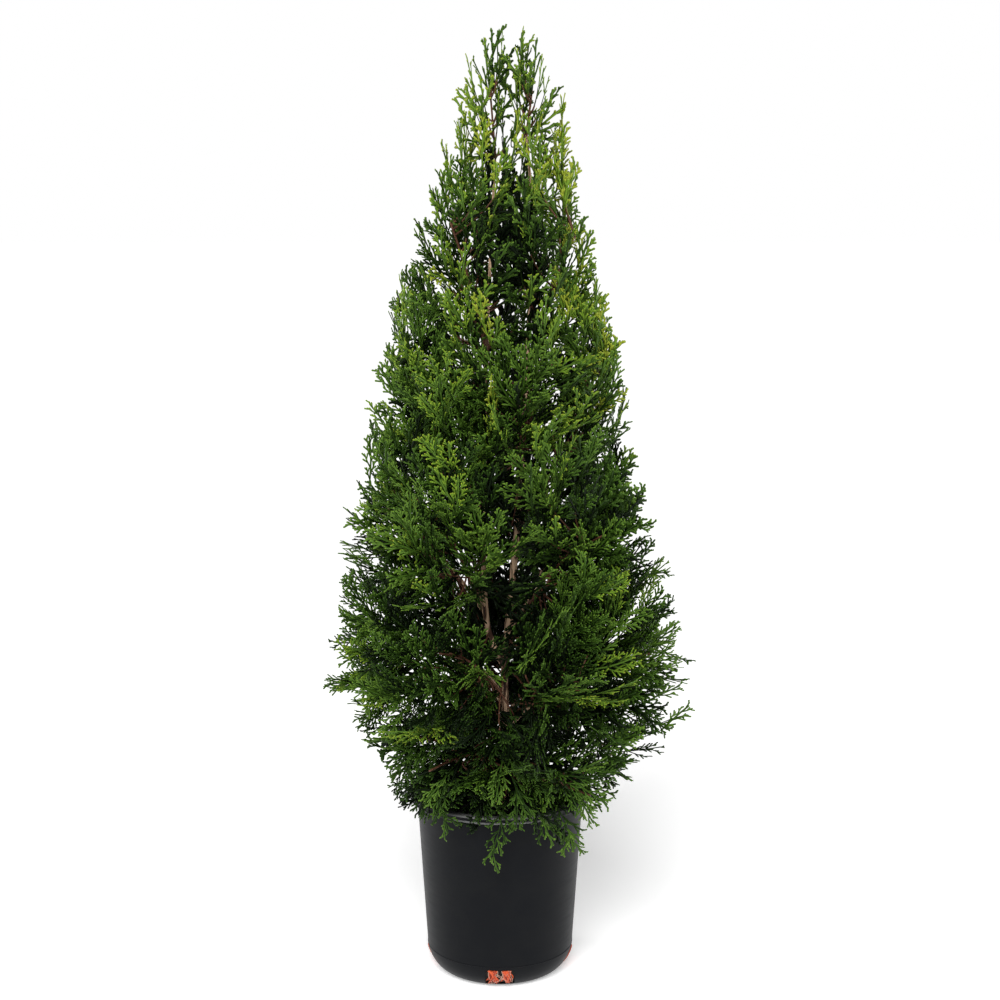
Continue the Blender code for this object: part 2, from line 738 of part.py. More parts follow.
def keep_main_body(mesh):
    """Keeps a mesh's largest closed shell, so a hollow sealed by the union is filled and a loose scrap is dropped."""
    bm = bmesh.new()
    bm.from_mesh(mesh)
    left = set(bm.faces)
    shells = []
    while left:
        shell, found = set(), [left.pop()]
        while found:
            face = found.pop()
            shell.add(face)
            beside = {other for edge in face.edges for other in edge.link_faces} & left
            left -= beside
            found += beside
        shells.append(shell)
    shells.sort(key=lambda shell: sum(face.calc_area() for face in shell))
    for shell in shells[:-1]:
        bmesh.ops.delete(bm, geom=list(shell), context="FACES")
    bm.to_mesh(mesh)
    bm.free()


def pot_bound():
    """The pot and its mix as one plain shape, a little swollen, for foliage to stay clear of."""
    outer, top = LIP_RADIUS + KEEP_OUT, POT_HEIGHT + KEEP_OUT
    inner, mix_top = wall_radius(MIX_CENTRE_Z) - WALL - KEEP_OUT, MIX_CENTRE_Z + KEEP_OUT
    profile = [(0.0, 0.0), (outer, 0.0), (outer, top), (inner, top), (inner, mix_top), (0.0, mix_top)]
    mesh = turned_mesh("pot_bound", profile, POT_SIDES)
    shape = [tuple(v.co) for v in mesh.vertices], [tuple(p.vertices) for p in mesh.polygons]
    bpy.data.meshes.remove(mesh)
    return shape


def make_plant():
    """The trunk, the second leader, the boughs of each tier and the masses that they bear."""
    rng = random.Random(SEED)
    trunk = upright_limb(TRUNK_GUIDE, TRUNK_FOOT_RADIUS, TRUNK_TIP_RADIUS, TRUNK_STEPS, FLARE_RADIUS)
    leader = upright_limb(LEADER_GUIDE, LEADER_FOOT_RADIUS, LEADER_TIP_RADIUS, LEADER_STEPS)
    fork = trunk.at_height(LEADER_GUIDE[0][2])
    keep_out = KeepOut()
    keep_out.add(*pot_bound())
    plans = plan_masses(trunk, leader, rng)
    limbs = [("trunk", trunk, TRUNK_SIDES, None), ("second_leader", leader, LEADER_SIDES, fork)]
    limbs += [(name + "_bough", bough, BOUGH_SIDES, host) for name, _, bough, _, host in plans if bough]
    for name, limb, sides, host in limbs:
        add_object(name, mesh_of(name, *limb_shape(limb, sides, host)), "bark")
        keep_out.add(*limb_shape(limb, sides, host, grow=KEEP_OUT))
    for name, cell, bough, stem, host in plans:
        grow_mass(name, cell, stem, None if bough else host, keep_out)


def plan_masses(trunk, leader, rng):
    """(name, cell, bough or None, stem, host) for each mass, from the skirt up to the crest."""
    plans = []
    for tier_index, tier in enumerate(TIERS):
        for i in range(len(tier.edges)):
            cell = Cell(tier_index, i)
            aim = cell.azimuth + math.radians(rng.uniform(-AZIMUTH_JITTER, AZIMUTH_JITTER))
            root_z = tier.root_z + tier.step_z * i
            crest = tier.name == "crest"
            on_leader = outward(cell.azimuth).x < 0 and (crest or root_z > LEADER_BOUGHS_Z)
            bearer = leader if on_leader else trunk
            name = f"{tier.name}_{i + 1}"
            if crest:
                path = crest_path(aim, *bearer.tip()[:2])
                plans.append((name, cell, None, whole_stem(path, bearer.radii[-1]), None))
                continue
            host = bearer.at_height(root_z)
            path = mass_path(tier, aim, host[0])
            if tier.name in MASSES_WITH_BOUGHS:
                plans.append((name, cell, *split_limb(path, tier.reach), host))
            else:
                plans.append((name, cell, None, whole_stem(path, host[2]), host))
    return plans


def crest_path(aim, tip, axis):
    """Guide points of the stem that carries a leader on past its tip."""
    start = tip + axis * CLEARANCE
    end = Vector((start.x + outward(aim).x * CREST_STEM_OUT, start.y, CREST_STEM_TOP_Z))
    return [start.lerp(end, i / 3) for i in range(4)]


def mass_path(tier, aim, start):
    """Guide points from a limb's centre out to the stem's far end, rising as the tier does and sagging a little."""
    rise = math.radians(tier.rise)
    slope = outward(aim) * math.cos(rise) + Vector((0, 0, math.sin(rise)))

    def place(length):
        return start + slope * length - Vector((0, 0, BOUGH_SAG * length * length))

    length = PATH_STEP
    while (place(length) - CROWN_AXIS).xy.length < STEM_SHARE * crown_radius(place(length).z):
        length += PATH_STEP
    return [place(length * i / 3) for i in range(4)]


def split_limb(path, reach):
    """A bough up to reach of the path and the stem of its mass beyond it, a clearance apart."""
    shares = [reach * i / BOUGH_STEPS for i in range(BOUGH_STEPS + 1)]
    points = [smooth_point(path, share) for share in shares]
    taper = BOUGH_TIP_RADIUS - BOUGH_FOOT_RADIUS
    bough = Limb(points, [BOUGH_FOOT_RADIUS + taper * i / BOUGH_STEPS for i in range(BOUGH_STEPS + 1)])
    tip, direction, _ = bough.tip()
    beyond = [smooth_point(path, reach + (1 - reach) * i / STEM_STEPS) for i in range(STEM_STEPS + 1)]
    beyond[0] = tip + direction * CLEARANCE
    beyond[1] = beyond[0] + direction * (beyond[1] - beyond[0]).length
    return bough, tapered(beyond, BOUGH_TIP_RADIUS)


def whole_stem(path, radius):
    """The stem of a mass that grows straight from an upright limb."""
    points = [smooth_point(path, i / STEM_STEPS) for i in range(STEM_STEPS + 1)]
    return tapered(points, min(radius, BOUGH_TIP_RADIUS))


def tapered(points, foot_radius):
    steps = len(points) - 1
    taper = STEM_TIP_RADIUS - foot_radius
    return Limb(points, [foot_radius + taper * i / steps for i in range(steps + 1)])


def main():
    clear_scene()
    make_pot()
    make_potting_mix()
    make_root_mats()
    make_plant()


main()
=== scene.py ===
"""Looks of a potted emerald green arborvitae: pot, potting mix, roots, bark and sprays of scaly leaves.

Metres, +Z up. The origin is the centre of the pot's flat underside, the front is -Y, and azimuths are
measured from the front towards +X. Limbs and masses of foliage follow the same rule as the solids.
"""

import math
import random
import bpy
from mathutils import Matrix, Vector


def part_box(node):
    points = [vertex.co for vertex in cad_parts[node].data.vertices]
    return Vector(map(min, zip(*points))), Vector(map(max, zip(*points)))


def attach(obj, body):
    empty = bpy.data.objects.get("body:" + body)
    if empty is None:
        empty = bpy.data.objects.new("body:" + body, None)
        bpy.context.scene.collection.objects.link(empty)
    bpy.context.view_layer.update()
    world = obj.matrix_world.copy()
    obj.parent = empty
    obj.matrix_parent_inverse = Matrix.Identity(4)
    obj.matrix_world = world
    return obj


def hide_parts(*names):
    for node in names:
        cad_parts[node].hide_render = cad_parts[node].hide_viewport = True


bl_info = {
    "name": "Potted Arborvitae",
    "version": (1, 0, 0),
    "blender": (4, 5, 0),
    "location": "View3D > Sidebar > Arborvitae",
    "description": "Dresses a potted arborvitae with its pot, mix, roots, bark and leafy sprays",
    "category": "Add Mesh",
}

from collections import namedtuple

import bpy
import numpy as np
from mathutils import Matrix, Vector, noise

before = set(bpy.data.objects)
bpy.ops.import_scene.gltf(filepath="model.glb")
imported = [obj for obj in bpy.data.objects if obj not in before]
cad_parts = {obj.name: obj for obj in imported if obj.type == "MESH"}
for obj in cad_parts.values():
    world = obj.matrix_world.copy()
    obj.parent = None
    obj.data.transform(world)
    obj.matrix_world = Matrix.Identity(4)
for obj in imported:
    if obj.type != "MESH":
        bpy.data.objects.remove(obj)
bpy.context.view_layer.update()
POT_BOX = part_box("pot")
MIX_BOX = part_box("potting_mix")
BODY = "root"

SMOOTH_ANGLE = math.radians(35)

# Pot
POT_HEIGHT = POT_BOX[1].z
LIP_RADIUS = POT_BOX[1].x
LIP_HEIGHT = 0.0095
LIP_EDGE = 0.001
LOWER_BEAD = 0.0012
UPPER_BEAD = 0.0022
GROOVE_DEPTH = 0.0011
GROOVE_FROM_BOTTOM = 0.0032
GROOVE_FROM_TOP = 0.0045
INNER_EDGE = 0.0025
INNER_EDGE_DROP = 0.0022
MOULDED_LINE = 0.0005
WALL_TOP_RADIUS = 0.115
WALL_FOOT_RADIUS = 0.1015
WALL = 0.0024
CORNER_WIDTH = 0.030
CORNER_HEIGHT = 0.042
CORNER_STEPS = 14
POT_SIDES = 128
# Width of the painted highlight on each of the lip's two beads
HIGHLIGHT_BEAD = 0.0026
DRAIN_NAMES = ("front", "right", "back", "left")
DRAIN_WIDTH = 0.040
DRAIN_BOTTOM_Z = 0.004
DRAIN_TOP_Z = 0.030
DRAIN_ROUND = 0.004
DRAIN_DEPTH = 0.078

# Potting mix
MIX_EDGE_Z = 0.226
MIX_CENTRE_Z = MIX_BOX[1].z
MIX_RADIUS = MIX_BOX[1].x
MIX_FLAT_RADIUS = 0.030
MIX_RINGS = 22
MIX_SIDES = 96
MIX_RELIEF = 0.0016
CLEARANCE = 0.0003
CRUMB_SIZES = (0.0012, 0.0034)
STRAW_LENGTHS = (0.004, 0.010)
STRAW_WIDTH = 0.0005
STRAW_THICKNESS = 0.0004
STRAW_LIFT = 0.0012
FRONT_STRAW_RADII = (0.092, 0.106)
LUMP_CORNERS = ((1, 0, 0), (-1, 0, 0), (0, 1, 0), (0, -1, 0), (0, 0, 1), (0, 0, -1))
LUMP_FACES = ((0, 2, 4), (2, 1, 4), (1, 3, 4), (3, 0, 4), (2, 0, 5), (1, 2, 5), (3, 1, 5), (0, 3, 5))

# Roots in each drain hole: matted ones, in two lumps, and fine ones
DRAIN_ROOTS = {"front": (48, 9), "right": (26, 5), "back": (36, 7), "left": (34, 5)}
ROOT_LUMPS = (-0.0105, 0.0085)
ROOT_RADIUS = 0.0010
ROOTLET_RADIUS = 0.00034
HANGING_ROOTLET = ((-0.002, 0.012, 0.0), (-0.0205, 0.0028, -0.0012), 0.00036)
ROOT_STEPS = 8

# Trunk and second leader, as guide points (x, y, z)
TRUNK_GUIDE = (
    (0.0045, 0.004, MIX_CENTRE_Z + 0.0003),
    (0.0065, 0.005, 0.358),
    (0.0075, 0.006, 0.436),
    (0.0197, 0.008, 0.579),
    (0.0290, 0.007, 0.697),
    (0.0367, 0.006, 0.865),
    (0.0442, 0.002, 1.010),
    (0.0346, 0.000, 1.150),
)
TRUNK_FOOT_RADIUS = 0.0075
TRUNK_TIP_RADIUS = 0.0016
FLARE_RADIUS = 0.0030
FLARE_HEIGHT = 0.022
LEADER_GUIDE = (
    (0.0075, 0.006, 0.425),
    (-0.0171, -0.010, 0.488),
    (-0.0224, -0.014, 0.606),
    (-0.0205, -0.013, 0.730),
    (-0.0180, -0.010, 0.862),
    (-0.0125, -0.007, 0.990),
    (-0.0060, -0.004, 1.120),
)
LEADER_FOOT_RADIUS = 0.0050
LEADER_TIP_RADIUS = 0.0015
LEADER_BOUGHS_Z = 0.465
UPRIGHT_TAPER = 0.75
TRUNK_STEPS = 240
TRUNK_SIDES = 20
LEADER_STEPS = 160
LEADER_SIDES = 16
BOUGH_SIDES = 8

# Crown: its radius is a power curve above the widest level, with a blunt top, and part of an ellipse below
# it. CROWN_AXIS is the middle of the solids' crown. CROWN_LEAN gives the middle of the leafy one, as (z, x).
CROWN_AXIS = Vector((0.010, 0.0, 0.0))
CROWN_LEAN = ((0.48, 0.010), (0.60, 0.000), (1.00, 0.000), (1.15, 0.010))
CROWN_RADIUS = 0.246
CROWN_WIDEST_Z = 0.440
CROWN_TOP_Z = 1.285
CROWN_TAPER = 0.68
BLUNT_RADIUS = 0.080
BLUNT_Z = 1.085
CROWN_UNDERCUT = 0.300
CROWN_BOTTOM_Z = 0.190
CROWN_SPARE = 0.010
TOP_SPARE = 0.004
WAIST_INSET = 0.030
WAIST_LEFT_Z = 0.375
WAIST_RIGHT_Z = 0.34

# How far the foliage keeps from the lip and from the mix, and inwards from the wall's outer face
POT_CLEARANCE = 0.004
MIX_CLEARANCE = 0.006
WALL_CLEARANCE = 0.008

# Where the trunk, the fork and the stems above it show between the sprays, for a viewer at the camera's
# place: x, half width, lowest and highest z, all in the upright plane through the pot's axis
FRONT_GAPS = (
    (0.0085, 0.014, 0.335, 0.445),
    (-0.0100, 0.013, 0.445, 0.490),
    (-0.0200, 0.012, 0.480, 0.540),
    (0.0170, 0.008, 0.540, 0.700),
)
CAMERA_DISTANCE = 2.66
CAMERA_HEIGHT = 1.14

# Tiers of the crown. The wedges' edges in degrees, the floors, roots, rise and reach are as in the solids.
# blade_rise: the plumes' least and greatest rise in degrees. bend: the curl of their sprays. plumes: how many
# reach the outer layers of each mass. shape: the templates that they use.
Tier = namedtuple(
    "Tier", "name edges floor_z slope root_z step_z rise reach blade_rise bend plumes length shape"
)
TIERS = (
    Tier("skirt", (4, 76, 148, 220, 292), 0.10, 0.0, 0.262, 0.01, 20, 0.36, (-35, 25), -3, 12, 0.14, "long"),
    Tier(
        "lower", (4, 56, 110, 165, 235, 300), 0.315, 0.3, 0.335, 0.01, 42, 0.36, (0, 50), 1, 14, 0.15, "long"
    ),
    Tier("middle", (8, 84, 150, 225, 296), 0.385, 0.9, 0.475, 0.01, 56, 0.34, (35, 74), 2, 16, 0.145, "full"),
    Tier("upper", (52, 142, 232, 322), 0.52, 1.5, 0.61, 0.016, 66, 0.32, (55, 82), 1.5, 18, 0.14, "full"),
    Tier("shoulder", (10, 130, 250), 0.69, 2.0, 0.82, 0.02, 76, 0.0, (66, 86), 1, 18, 0.12, "full"),
    Tier("crest", (0, 180), 1.09, 1.0, 0.0, 0.0, 80, 0.0, (68, 88), 1, 12, 0.085, "open"),
)
BOUGH_FOOT_RADIUS = 0.0032
BOUGH_TIP_RADIUS = 0.0020
BOUGH_SAG = 1.0
PATH_STEP = 0.004
AZIMUTH_JITTER = 4
CREST_STEM_TOP_Z = 1.193
CREST_STEM_OUT = 0.006
STEM_SHARE = 0.80
STEM_TIP_RADIUS = 0.0013

# How far out the plumes' tips lie, as shares of the crown's radius, and how many fill each mass's inside
LAYERS = (1.0, 0.86, 1.0, 0.74, 0.95)
INNER_LAYERS = (0.54, 0.18, 0.36)
INNER_PLUMES = {"skirt": 9, "lower": 10, "middle": 9, "upper": 8, "shoulder": 6, "crest": 4}
SEED = 41
GOLDEN = 0.618034

# Sprays. The inner ones are coarser, as they only darken the crown behind the others, in painted-shade tones.
Shape = namedtuple("Shape", "spacing angle reach fingers finger_length width")
SPRAY_LENGTHS = (0.036, 0.052, 0.072, 0.094)
SPRAY_VARIANTS = 5
SPRAY_SHAPES = {
    "long": Shape(0.0084, 29, 0.40, 4, 0.0125, 0.0023),
    "full": Shape(0.0076, 30, 0.36, 3, 0.0110, 0.0026),
    "open": Shape(0.0088, 27, 0.28, 2, 0.0085, 0.0029),
    "inner": Shape(0.0105, 36, 0.46, 2, 0.0150, 0.0042),
}
LEAF_THICKNESS = 0.0011
SHORTEST_TWIG = 0.008

# Plumes: the gap between their sprays, where these start, and how far they turn from the plume, in degrees
PLUME_STRAIGHT = 0.62
PLUME_YAW = 32
OUTER_LAYER = 0.62
SPRAY_GAP = 0.024
INNER_SPRAY_GAP = 0.034
SEEN_START = 0.14
LEAST_START = 0.18
GAPS_WITH_SPRAYS = 5.2
LAST_SPRAY = 0.95
END_SPRAY = 0.80
SPRAY_TURN = (22, 38)
SPRAY_ROLL = 28
TRIMMED = 0.70
PLUME_FOOT_RADIUS = 0.0016
PLUME_THINNING = 0.0012

# Plumes that stand out in the photo: mass, share of the usual spray length, change of tone, foot, a point
# halfway and tip
SEEN_PLUMES = (
    ("skirt_5", 1.00, 1.0, (0.0065, -0.008, 0.425), (0.0007, -0.125, 0.362), (0.032, -0.148, 0.296)),
    ("skirt_1", 0.90, 0.5, (0.0075, 0.000, 0.290), (0.0628, -0.115, 0.322), (0.119, -0.132, 0.290)),
    ("skirt_5", 0.42, 0.3, (0.0075, -0.004, 0.275), (0.0059, -0.128, 0.278), (-0.012, -0.150, 0.202)),
    ("skirt_5", 0.42, 0.3, (0.0000, -0.004, 0.285), (-0.0740, -0.118, 0.296), (-0.063, -0.145, 0.243)),
    ("skirt_1", 0.45, 0.4, (0.0075, -0.002, 0.280), (0.0721, -0.122, 0.274), (0.093, -0.142, 0.217)),
    ("skirt_1", 0.50, 0.0, (0.0075, -0.004, 0.285), (0.0403, -0.125, 0.284), (0.064, -0.146, 0.239)),
    ("skirt_5", 0.80, 0.5, (0.0065, -0.002, 0.340), (-0.0761, -0.105, 0.366), (-0.117, -0.120, 0.341)),
    ("skirt_5", 0.80, -0.6, (0.0000, -0.010, 0.300), (-0.0570, -0.085, 0.318), (-0.098, -0.115, 0.305)),
    ("skirt_5", 0.75, 0.0, (0.0000, -0.010, 0.335), (-0.0420, -0.105, 0.340), (-0.085, -0.138, 0.300)),
    ("skirt_1", 0.70, -0.8, (0.0110, -0.010, 0.430), (0.0415, -0.065, 0.405), (0.062, -0.108, 0.368)),
    ("lower_6", 0.80, 0.7, (-0.0150, -0.012, 0.480), (-0.0380, -0.110, 0.450), (-0.030, -0.145, 0.505)),
    ("lower_1", 0.80, -0.5, (0.0110, -0.005, 0.470), (0.0450, -0.090, 0.475), (0.090, -0.140, 0.510)),
    ("lower_1", 1.00, 0.3, (0.0100, 0.002, 0.470), (0.0700, -0.110, 0.510), (0.120, -0.155, 0.575)),
    ("middle_5", 1.00, 0.9, (-0.0200, -0.014, 0.540), (-0.0350, -0.115, 0.572), (-0.010, -0.150, 0.640)),
    ("middle_5", 1.00, 0.3, (-0.0200, -0.014, 0.560), (-0.0800, -0.120, 0.590), (-0.118, -0.150, 0.650)),
    ("middle_5", 1.00, 0.4, (-0.0220, -0.014, 0.600), (-0.0450, -0.100, 0.660), (-0.060, -0.145, 0.740)),
    ("middle_1", 1.00, 0.2, (0.0197, 0.006, 0.580), (0.0600, -0.100, 0.640), (0.078, -0.145, 0.730)),
    ("upper_4", 1.00, 0.5, (-0.0205, -0.013, 0.660), (-0.0550, -0.095, 0.730), (-0.070, -0.130, 0.820)),
    ("upper_4", 1.00, 0.5, (-0.0200, -0.012, 0.760), (-0.0360, -0.080, 0.840), (-0.040, -0.105, 0.930)),
    ("upper_4", 1.00, 0.5, (0.0300, 0.006, 0.700), (0.0260, -0.085, 0.760), (0.030, -0.125, 0.860)),
)

# Tones of the leaves, from the painted shade of the crown's inside to the painted highlight on the twigs'
# tips
TONES = (
    ("shaded_leaf", (0.003, 0.009, 0.001)),
    ("deep_leaf", (0.015, 0.038, 0.003)),
    ("leaf", (0.042, 0.094, 0.008)),
    ("lit_leaf", (0.085, 0.165, 0.020)),
    ("bright_leaf", (0.142, 0.248, 0.020)),
    ("fresh_leaf", (0.270, 0.335, 0.028)),
    ("leaf_tip", (0.370, 0.435, 0.060)),
)
PLUME_VARIETY = 0.8
SPRAY_VARIETY = 0.5
LEAST_TONE = 0.1
# Painted shade and light: (weight, power) of the rise in tone from the crown's inside outwards, then with
# height
PAINTED_LIGHT_OUTWARDS = (2.6, 2.2)
TONE_UPWARDS = (3.4, 2.4)
FRESH_ABOVE = 0.55
HIGHEST_TONE = 5
HIGHEST_LOW_TONE = 4

# Stage
SUN_SIZE = math.radians(34)
SUN_TILT = math.radians(47)
SUN_TURN = math.radians(-7)
SOFTBOX_SIZE = (0.7, 2.0)
FLOOR_GLOW = 0.34


def outward(azimuth):
    """Horizontal unit vector: azimuth 0 points to the front, a quarter turn to the right."""
    return Vector((math.sin(azimuth), -math.cos(azimuth), 0.0))


def crown_radius(z):
    """The crown's radius at a height."""
    if z >= CROWN_WIDEST_Z:
        left = max(CROWN_TOP_Z - z, 0.0) / (CROWN_TOP_Z - CROWN_WIDEST_Z)
        climb = max(z - BLUNT_Z, 0.0) / (CROWN_TOP_Z - BLUNT_Z)
        blunt = BLUNT_RADIUS * math.sqrt(max(1.0 - climb * climb, 0.0))
        return max(CROWN_RADIUS * left**CROWN_TAPER, blunt)
    drop = (CROWN_WIDEST_Z - z) / CROWN_UNDERCUT
    return CROWN_RADIUS * math.sqrt(max(1.0 - drop * drop, 0.0))


def crown_centre(z):
    """The middle of the leafy crown at a height, which sways a little from left to right, as in the photo."""
    heights, places = zip(*CROWN_LEAN)
    return Vector((float(np.interp(z, heights, places)), 0.0, 0.0))


class Socket:
    """A number, colour or vector in a material's nodes. Arithmetic on it adds Math nodes."""

    def __init__(self, nodes, socket):
        self.nodes = nodes
        self.socket = socket

    def math(self, operation, first, second):
        return self.nodes.add("ShaderNodeMath", {"operation": operation}, {0: first, 1: second})

    def __add__(self, other):
        return self.math("ADD", self, other)

    def __mul__(self, other):
        return self.math("MULTIPLY", self, other)

    def __sub__(self, other):
        return self.math("SUBTRACT", self, other)

    def __rsub__(self, other):
        return self.math("SUBTRACT", other, self)

    __radd__ = __add__
    __rmul__ = __mul__


class Finish:
    """A material whose nodes are added one by one."""

    def __init__(self, name, colour=None, roughness=0.6, **sockets):
        self.material = bpy.data.materials.new(name)
        self.material.use_nodes = True
        self.tree = self.material.node_tree
        self.shader = self.tree.nodes["Principled BSDF"]
        self.set("Roughness", roughness)
        if colour is not None:
            self.set("Base Color", colour)
        for label, value in sockets.items():
            self.set(label.replace("_", " "), value)

    def give(self, target, value):
        if isinstance(value, Socket):
            self.tree.links.new(value.socket, target)
        elif target.type == "RGBA":
            target.default_value = (*value, 1.0)
        else:
            target.default_value = value

    def set(self, label, value):
        self.give(self.shader.inputs[label], value)

    def add(self, kind, settings, inputs, output=0):
        """One node: its settings are made first, then its sockets' values or links."""
        node = self.tree.nodes.new(kind)
        for label, value in settings.items():
            if label == "stops":
                self.set_stops(node.color_ramp, value)
            else:
                setattr(node, label, value)
        for label, value in inputs.items():
            self.give(node.inputs[label], value)
        return Socket(self, node.outputs[output])

    def set_stops(self, ramp, stops):
        while len(ramp.elements) < len(stops):
            ramp.elements.new(0.5)
        for element, (place, colour) in zip(ramp.elements, stops):
            element.position = place
            element.color = (*colour, 1.0)

    def noise(self, stretch, scale, detail=3.0, roughness=0.5):
        """Noise on the piece's own coordinates, with a scale for each axis."""
        coordinates = self.add("ShaderNodeTexCoord", {}, {}, "Object")
        place = self.add("ShaderNodeMapping", {}, {"Vector": coordinates, "Scale": stretch})
        inputs = {"Vector": place, "Scale": scale, "Detail": detail, "Roughness": roughness}
        return self.add("ShaderNodeTexNoise", {}, inputs, "Fac")

    def ramp(self, value, stops):
        return self.add("ShaderNodeValToRGB", {"stops": stops}, {"Fac": value})

    def mix(self, factor, first, second):
        return self.add("ShaderNodeMix", {"data_type": "RGBA"}, {0: factor, 6: first, 7: second}, 2)

    def bump(self, height, strength, distance):
        inputs = {"Height": height, "Strength": strength, "Distance": distance}
        self.set("Normal", self.add("ShaderNodeBump", {}, inputs))


class Joined:
    """Arrays of a joined mesh: its points, its triangles and the tone of each triangle."""

    def __init__(self):
        self.points, self.triangles, self.tones, self.count = [], [], [], 0

    def add(self, points, triangles, tones):
        self.points.append(points)
        self.triangles.append(triangles + self.count)
        self.tones.append(tones)
        self.count += len(points)

    def arrays(self):
        return np.concatenate(self.points), np.concatenate(self.triangles), np.concatenate(self.tones)

    def build(self, name, materials):
        points, triangles, tones = self.arrays()
        mesh = bpy.data.meshes.new(name)
        mesh.vertices.add(len(points))
        mesh.vertices.foreach_set("co", points.astype(np.float32).ravel())
        mesh.loops.add(triangles.size)
        mesh.loops.foreach_set("vertex_index", triangles.astype(np.int32).ravel())
        mesh.polygons.add(len(triangles))
        mesh.polygons.foreach_set("loop_start", np.arange(0, triangles.size, 3, dtype=np.int32))
        mesh.polygons.foreach_set("material_index", tones.astype(np.int32))
        for finish in materials:
            mesh.materials.append(finish)
        mesh.update(calc_edges=True)
        mesh.shade_smooth()
        return placed_object(name, mesh)


def placed_object(name, data, place=(0, 0, 0), rotation=(0, 0, 0)):
    """A new object in the scene."""
    obj = bpy.data.objects.new(name, data)
    obj.location = place
    obj.rotation_euler = rotation
    bpy.context.scene.collection.objects.link(obj)
    return obj


def deselect():
    for obj in bpy.context.selected_objects:
        obj.select_set(False)


def select_only(obj):
    deselect()
    bpy.context.view_layer.objects.active = obj
    obj.select_set(True)


def close_mesh(threshold):
    """In edit mode: merges what lies together, turns the faces outwards and leaves edit mode."""
    bpy.ops.mesh.select_all(action="SELECT")
    bpy.ops.mesh.remove_doubles(threshold=threshold)
    bpy.ops.mesh.normals_make_consistent(inside=False)
    bpy.ops.object.mode_set(mode="OBJECT")


def dress(obj, finish, slot, *nodes):
    """Gives a piece its finish and its body, and hides the nodes that it stands for."""
    if finish is not None:
        obj.data.materials.clear()
        obj.data.materials.append(finish)
    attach(obj, BODY)
    if nodes:
        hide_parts(*nodes)


def turned(name, profile, sides):
    """A closed turned shape from points (r, z), listed from the axis outwards and back to the axis."""
    deselect()
    bpy.ops.mesh.primitive_plane_add(size=0.01, location=(0, 0, 0))
    obj = bpy.context.object
    obj.name = obj.data.name = name
    bpy.ops.object.mode_set(mode="EDIT")
    bpy.ops.mesh.select_all(action="SELECT")
    bpy.ops.mesh.merge(type="CENTER")
    bpy.ops.transform.translate(value=(profile[0][0], 0, profile[0][1]))
    for (r, z), (next_r, next_z) in zip(profile, profile[1:]):
        bpy.ops.mesh.extrude_vertices_move(TRANSFORM_OT_translate={"value": (next_r - r, 0, next_z - z)})
    bpy.ops.mesh.select_all(action="SELECT")
    bpy.ops.mesh.spin(steps=sides, angle=math.tau, center=(0, 0, 0), axis=(0, 0, 1))
    close_mesh(1e-5)
    bpy.ops.object.shade_smooth_by_angle(angle=SMOOTH_ANGLE)
    return obj


def arc(centre_r, centre_z, width, height, start, end, steps):
    """Points (r, z) of part of an ellipse, angles in degrees."""
    points = []
    for i in range(steps + 1):
        angle = math.radians(start + (end - start) * i / steps)
        points.append((centre_r + width * math.cos(angle), centre_z + height * math.sin(angle)))
    return points


def foot_profile(inset):
    """The pot's rounded foot from the axis to the wall, moved inwards by inset."""
    centre_r = WALL_FOOT_RADIUS - CORNER_WIDTH
    width, height = CORNER_WIDTH - inset, CORNER_HEIGHT - inset
    return [(0.0, inset), *arc(centre_r, CORNER_HEIGHT, width, height, -90, 0, CORNER_STEPS)]


def pot_profile():
    """The pot's section: rounded foot, a faint moulded line, the tapering wall and a lip with two beads."""
    lip_bottom = POT_HEIGHT - LIP_HEIGHT
    centre_r = WALL_FOOT_RADIUS - CORNER_WIDTH
    foot = [(0.0, 0.0), *arc(centre_r, CORNER_HEIGHT, CORNER_WIDTH, CORNER_HEIGHT, -90, -11.7, 12)]
    line = arc(centre_r, CORNER_HEIGHT, CORNER_WIDTH + MOULDED_LINE, CORNER_HEIGHT, -11.2, -9.8, 1)
    foot += [*line, *arc(centre_r, CORNER_HEIGHT, CORNER_WIDTH, CORNER_HEIGHT, -9.3, 0, 3)]
    under_z = POT_HEIGHT - WALL
    under = [(WALL_TOP_RADIUS, under_z - LIP_EDGE), (WALL_TOP_RADIUS + LIP_EDGE, under_z)]
    under += [(LIP_RADIUS - WALL - LIP_EDGE, under_z), (LIP_RADIUS - WALL, under_z - LIP_EDGE)]
    lower_bead = arc(LIP_RADIUS - LOWER_BEAD, lip_bottom + LOWER_BEAD, LOWER_BEAD, LOWER_BEAD, -150, 70, 6)
    groove_r = LIP_RADIUS - GROOVE_DEPTH
    groove = [(groove_r, lip_bottom + GROOVE_FROM_BOTTOM), (groove_r, POT_HEIGHT - GROOVE_FROM_TOP)]
    upper_bead = arc(LIP_RADIUS - UPPER_BEAD, POT_HEIGHT - UPPER_BEAD, UPPER_BEAD, UPPER_BEAD, -20, 95, 6)
    inner_r = WALL_TOP_RADIUS - WALL + INNER_EDGE
    inner_lip = arc(inner_r, POT_HEIGHT - INNER_EDGE, INNER_EDGE, INNER_EDGE_DROP, 90, 180, 5)
    outside = [*foot, *under, *lower_bead, *groove, *upper_bead, *inner_lip]
    return [*outside, *reversed(foot_profile(WALL))]


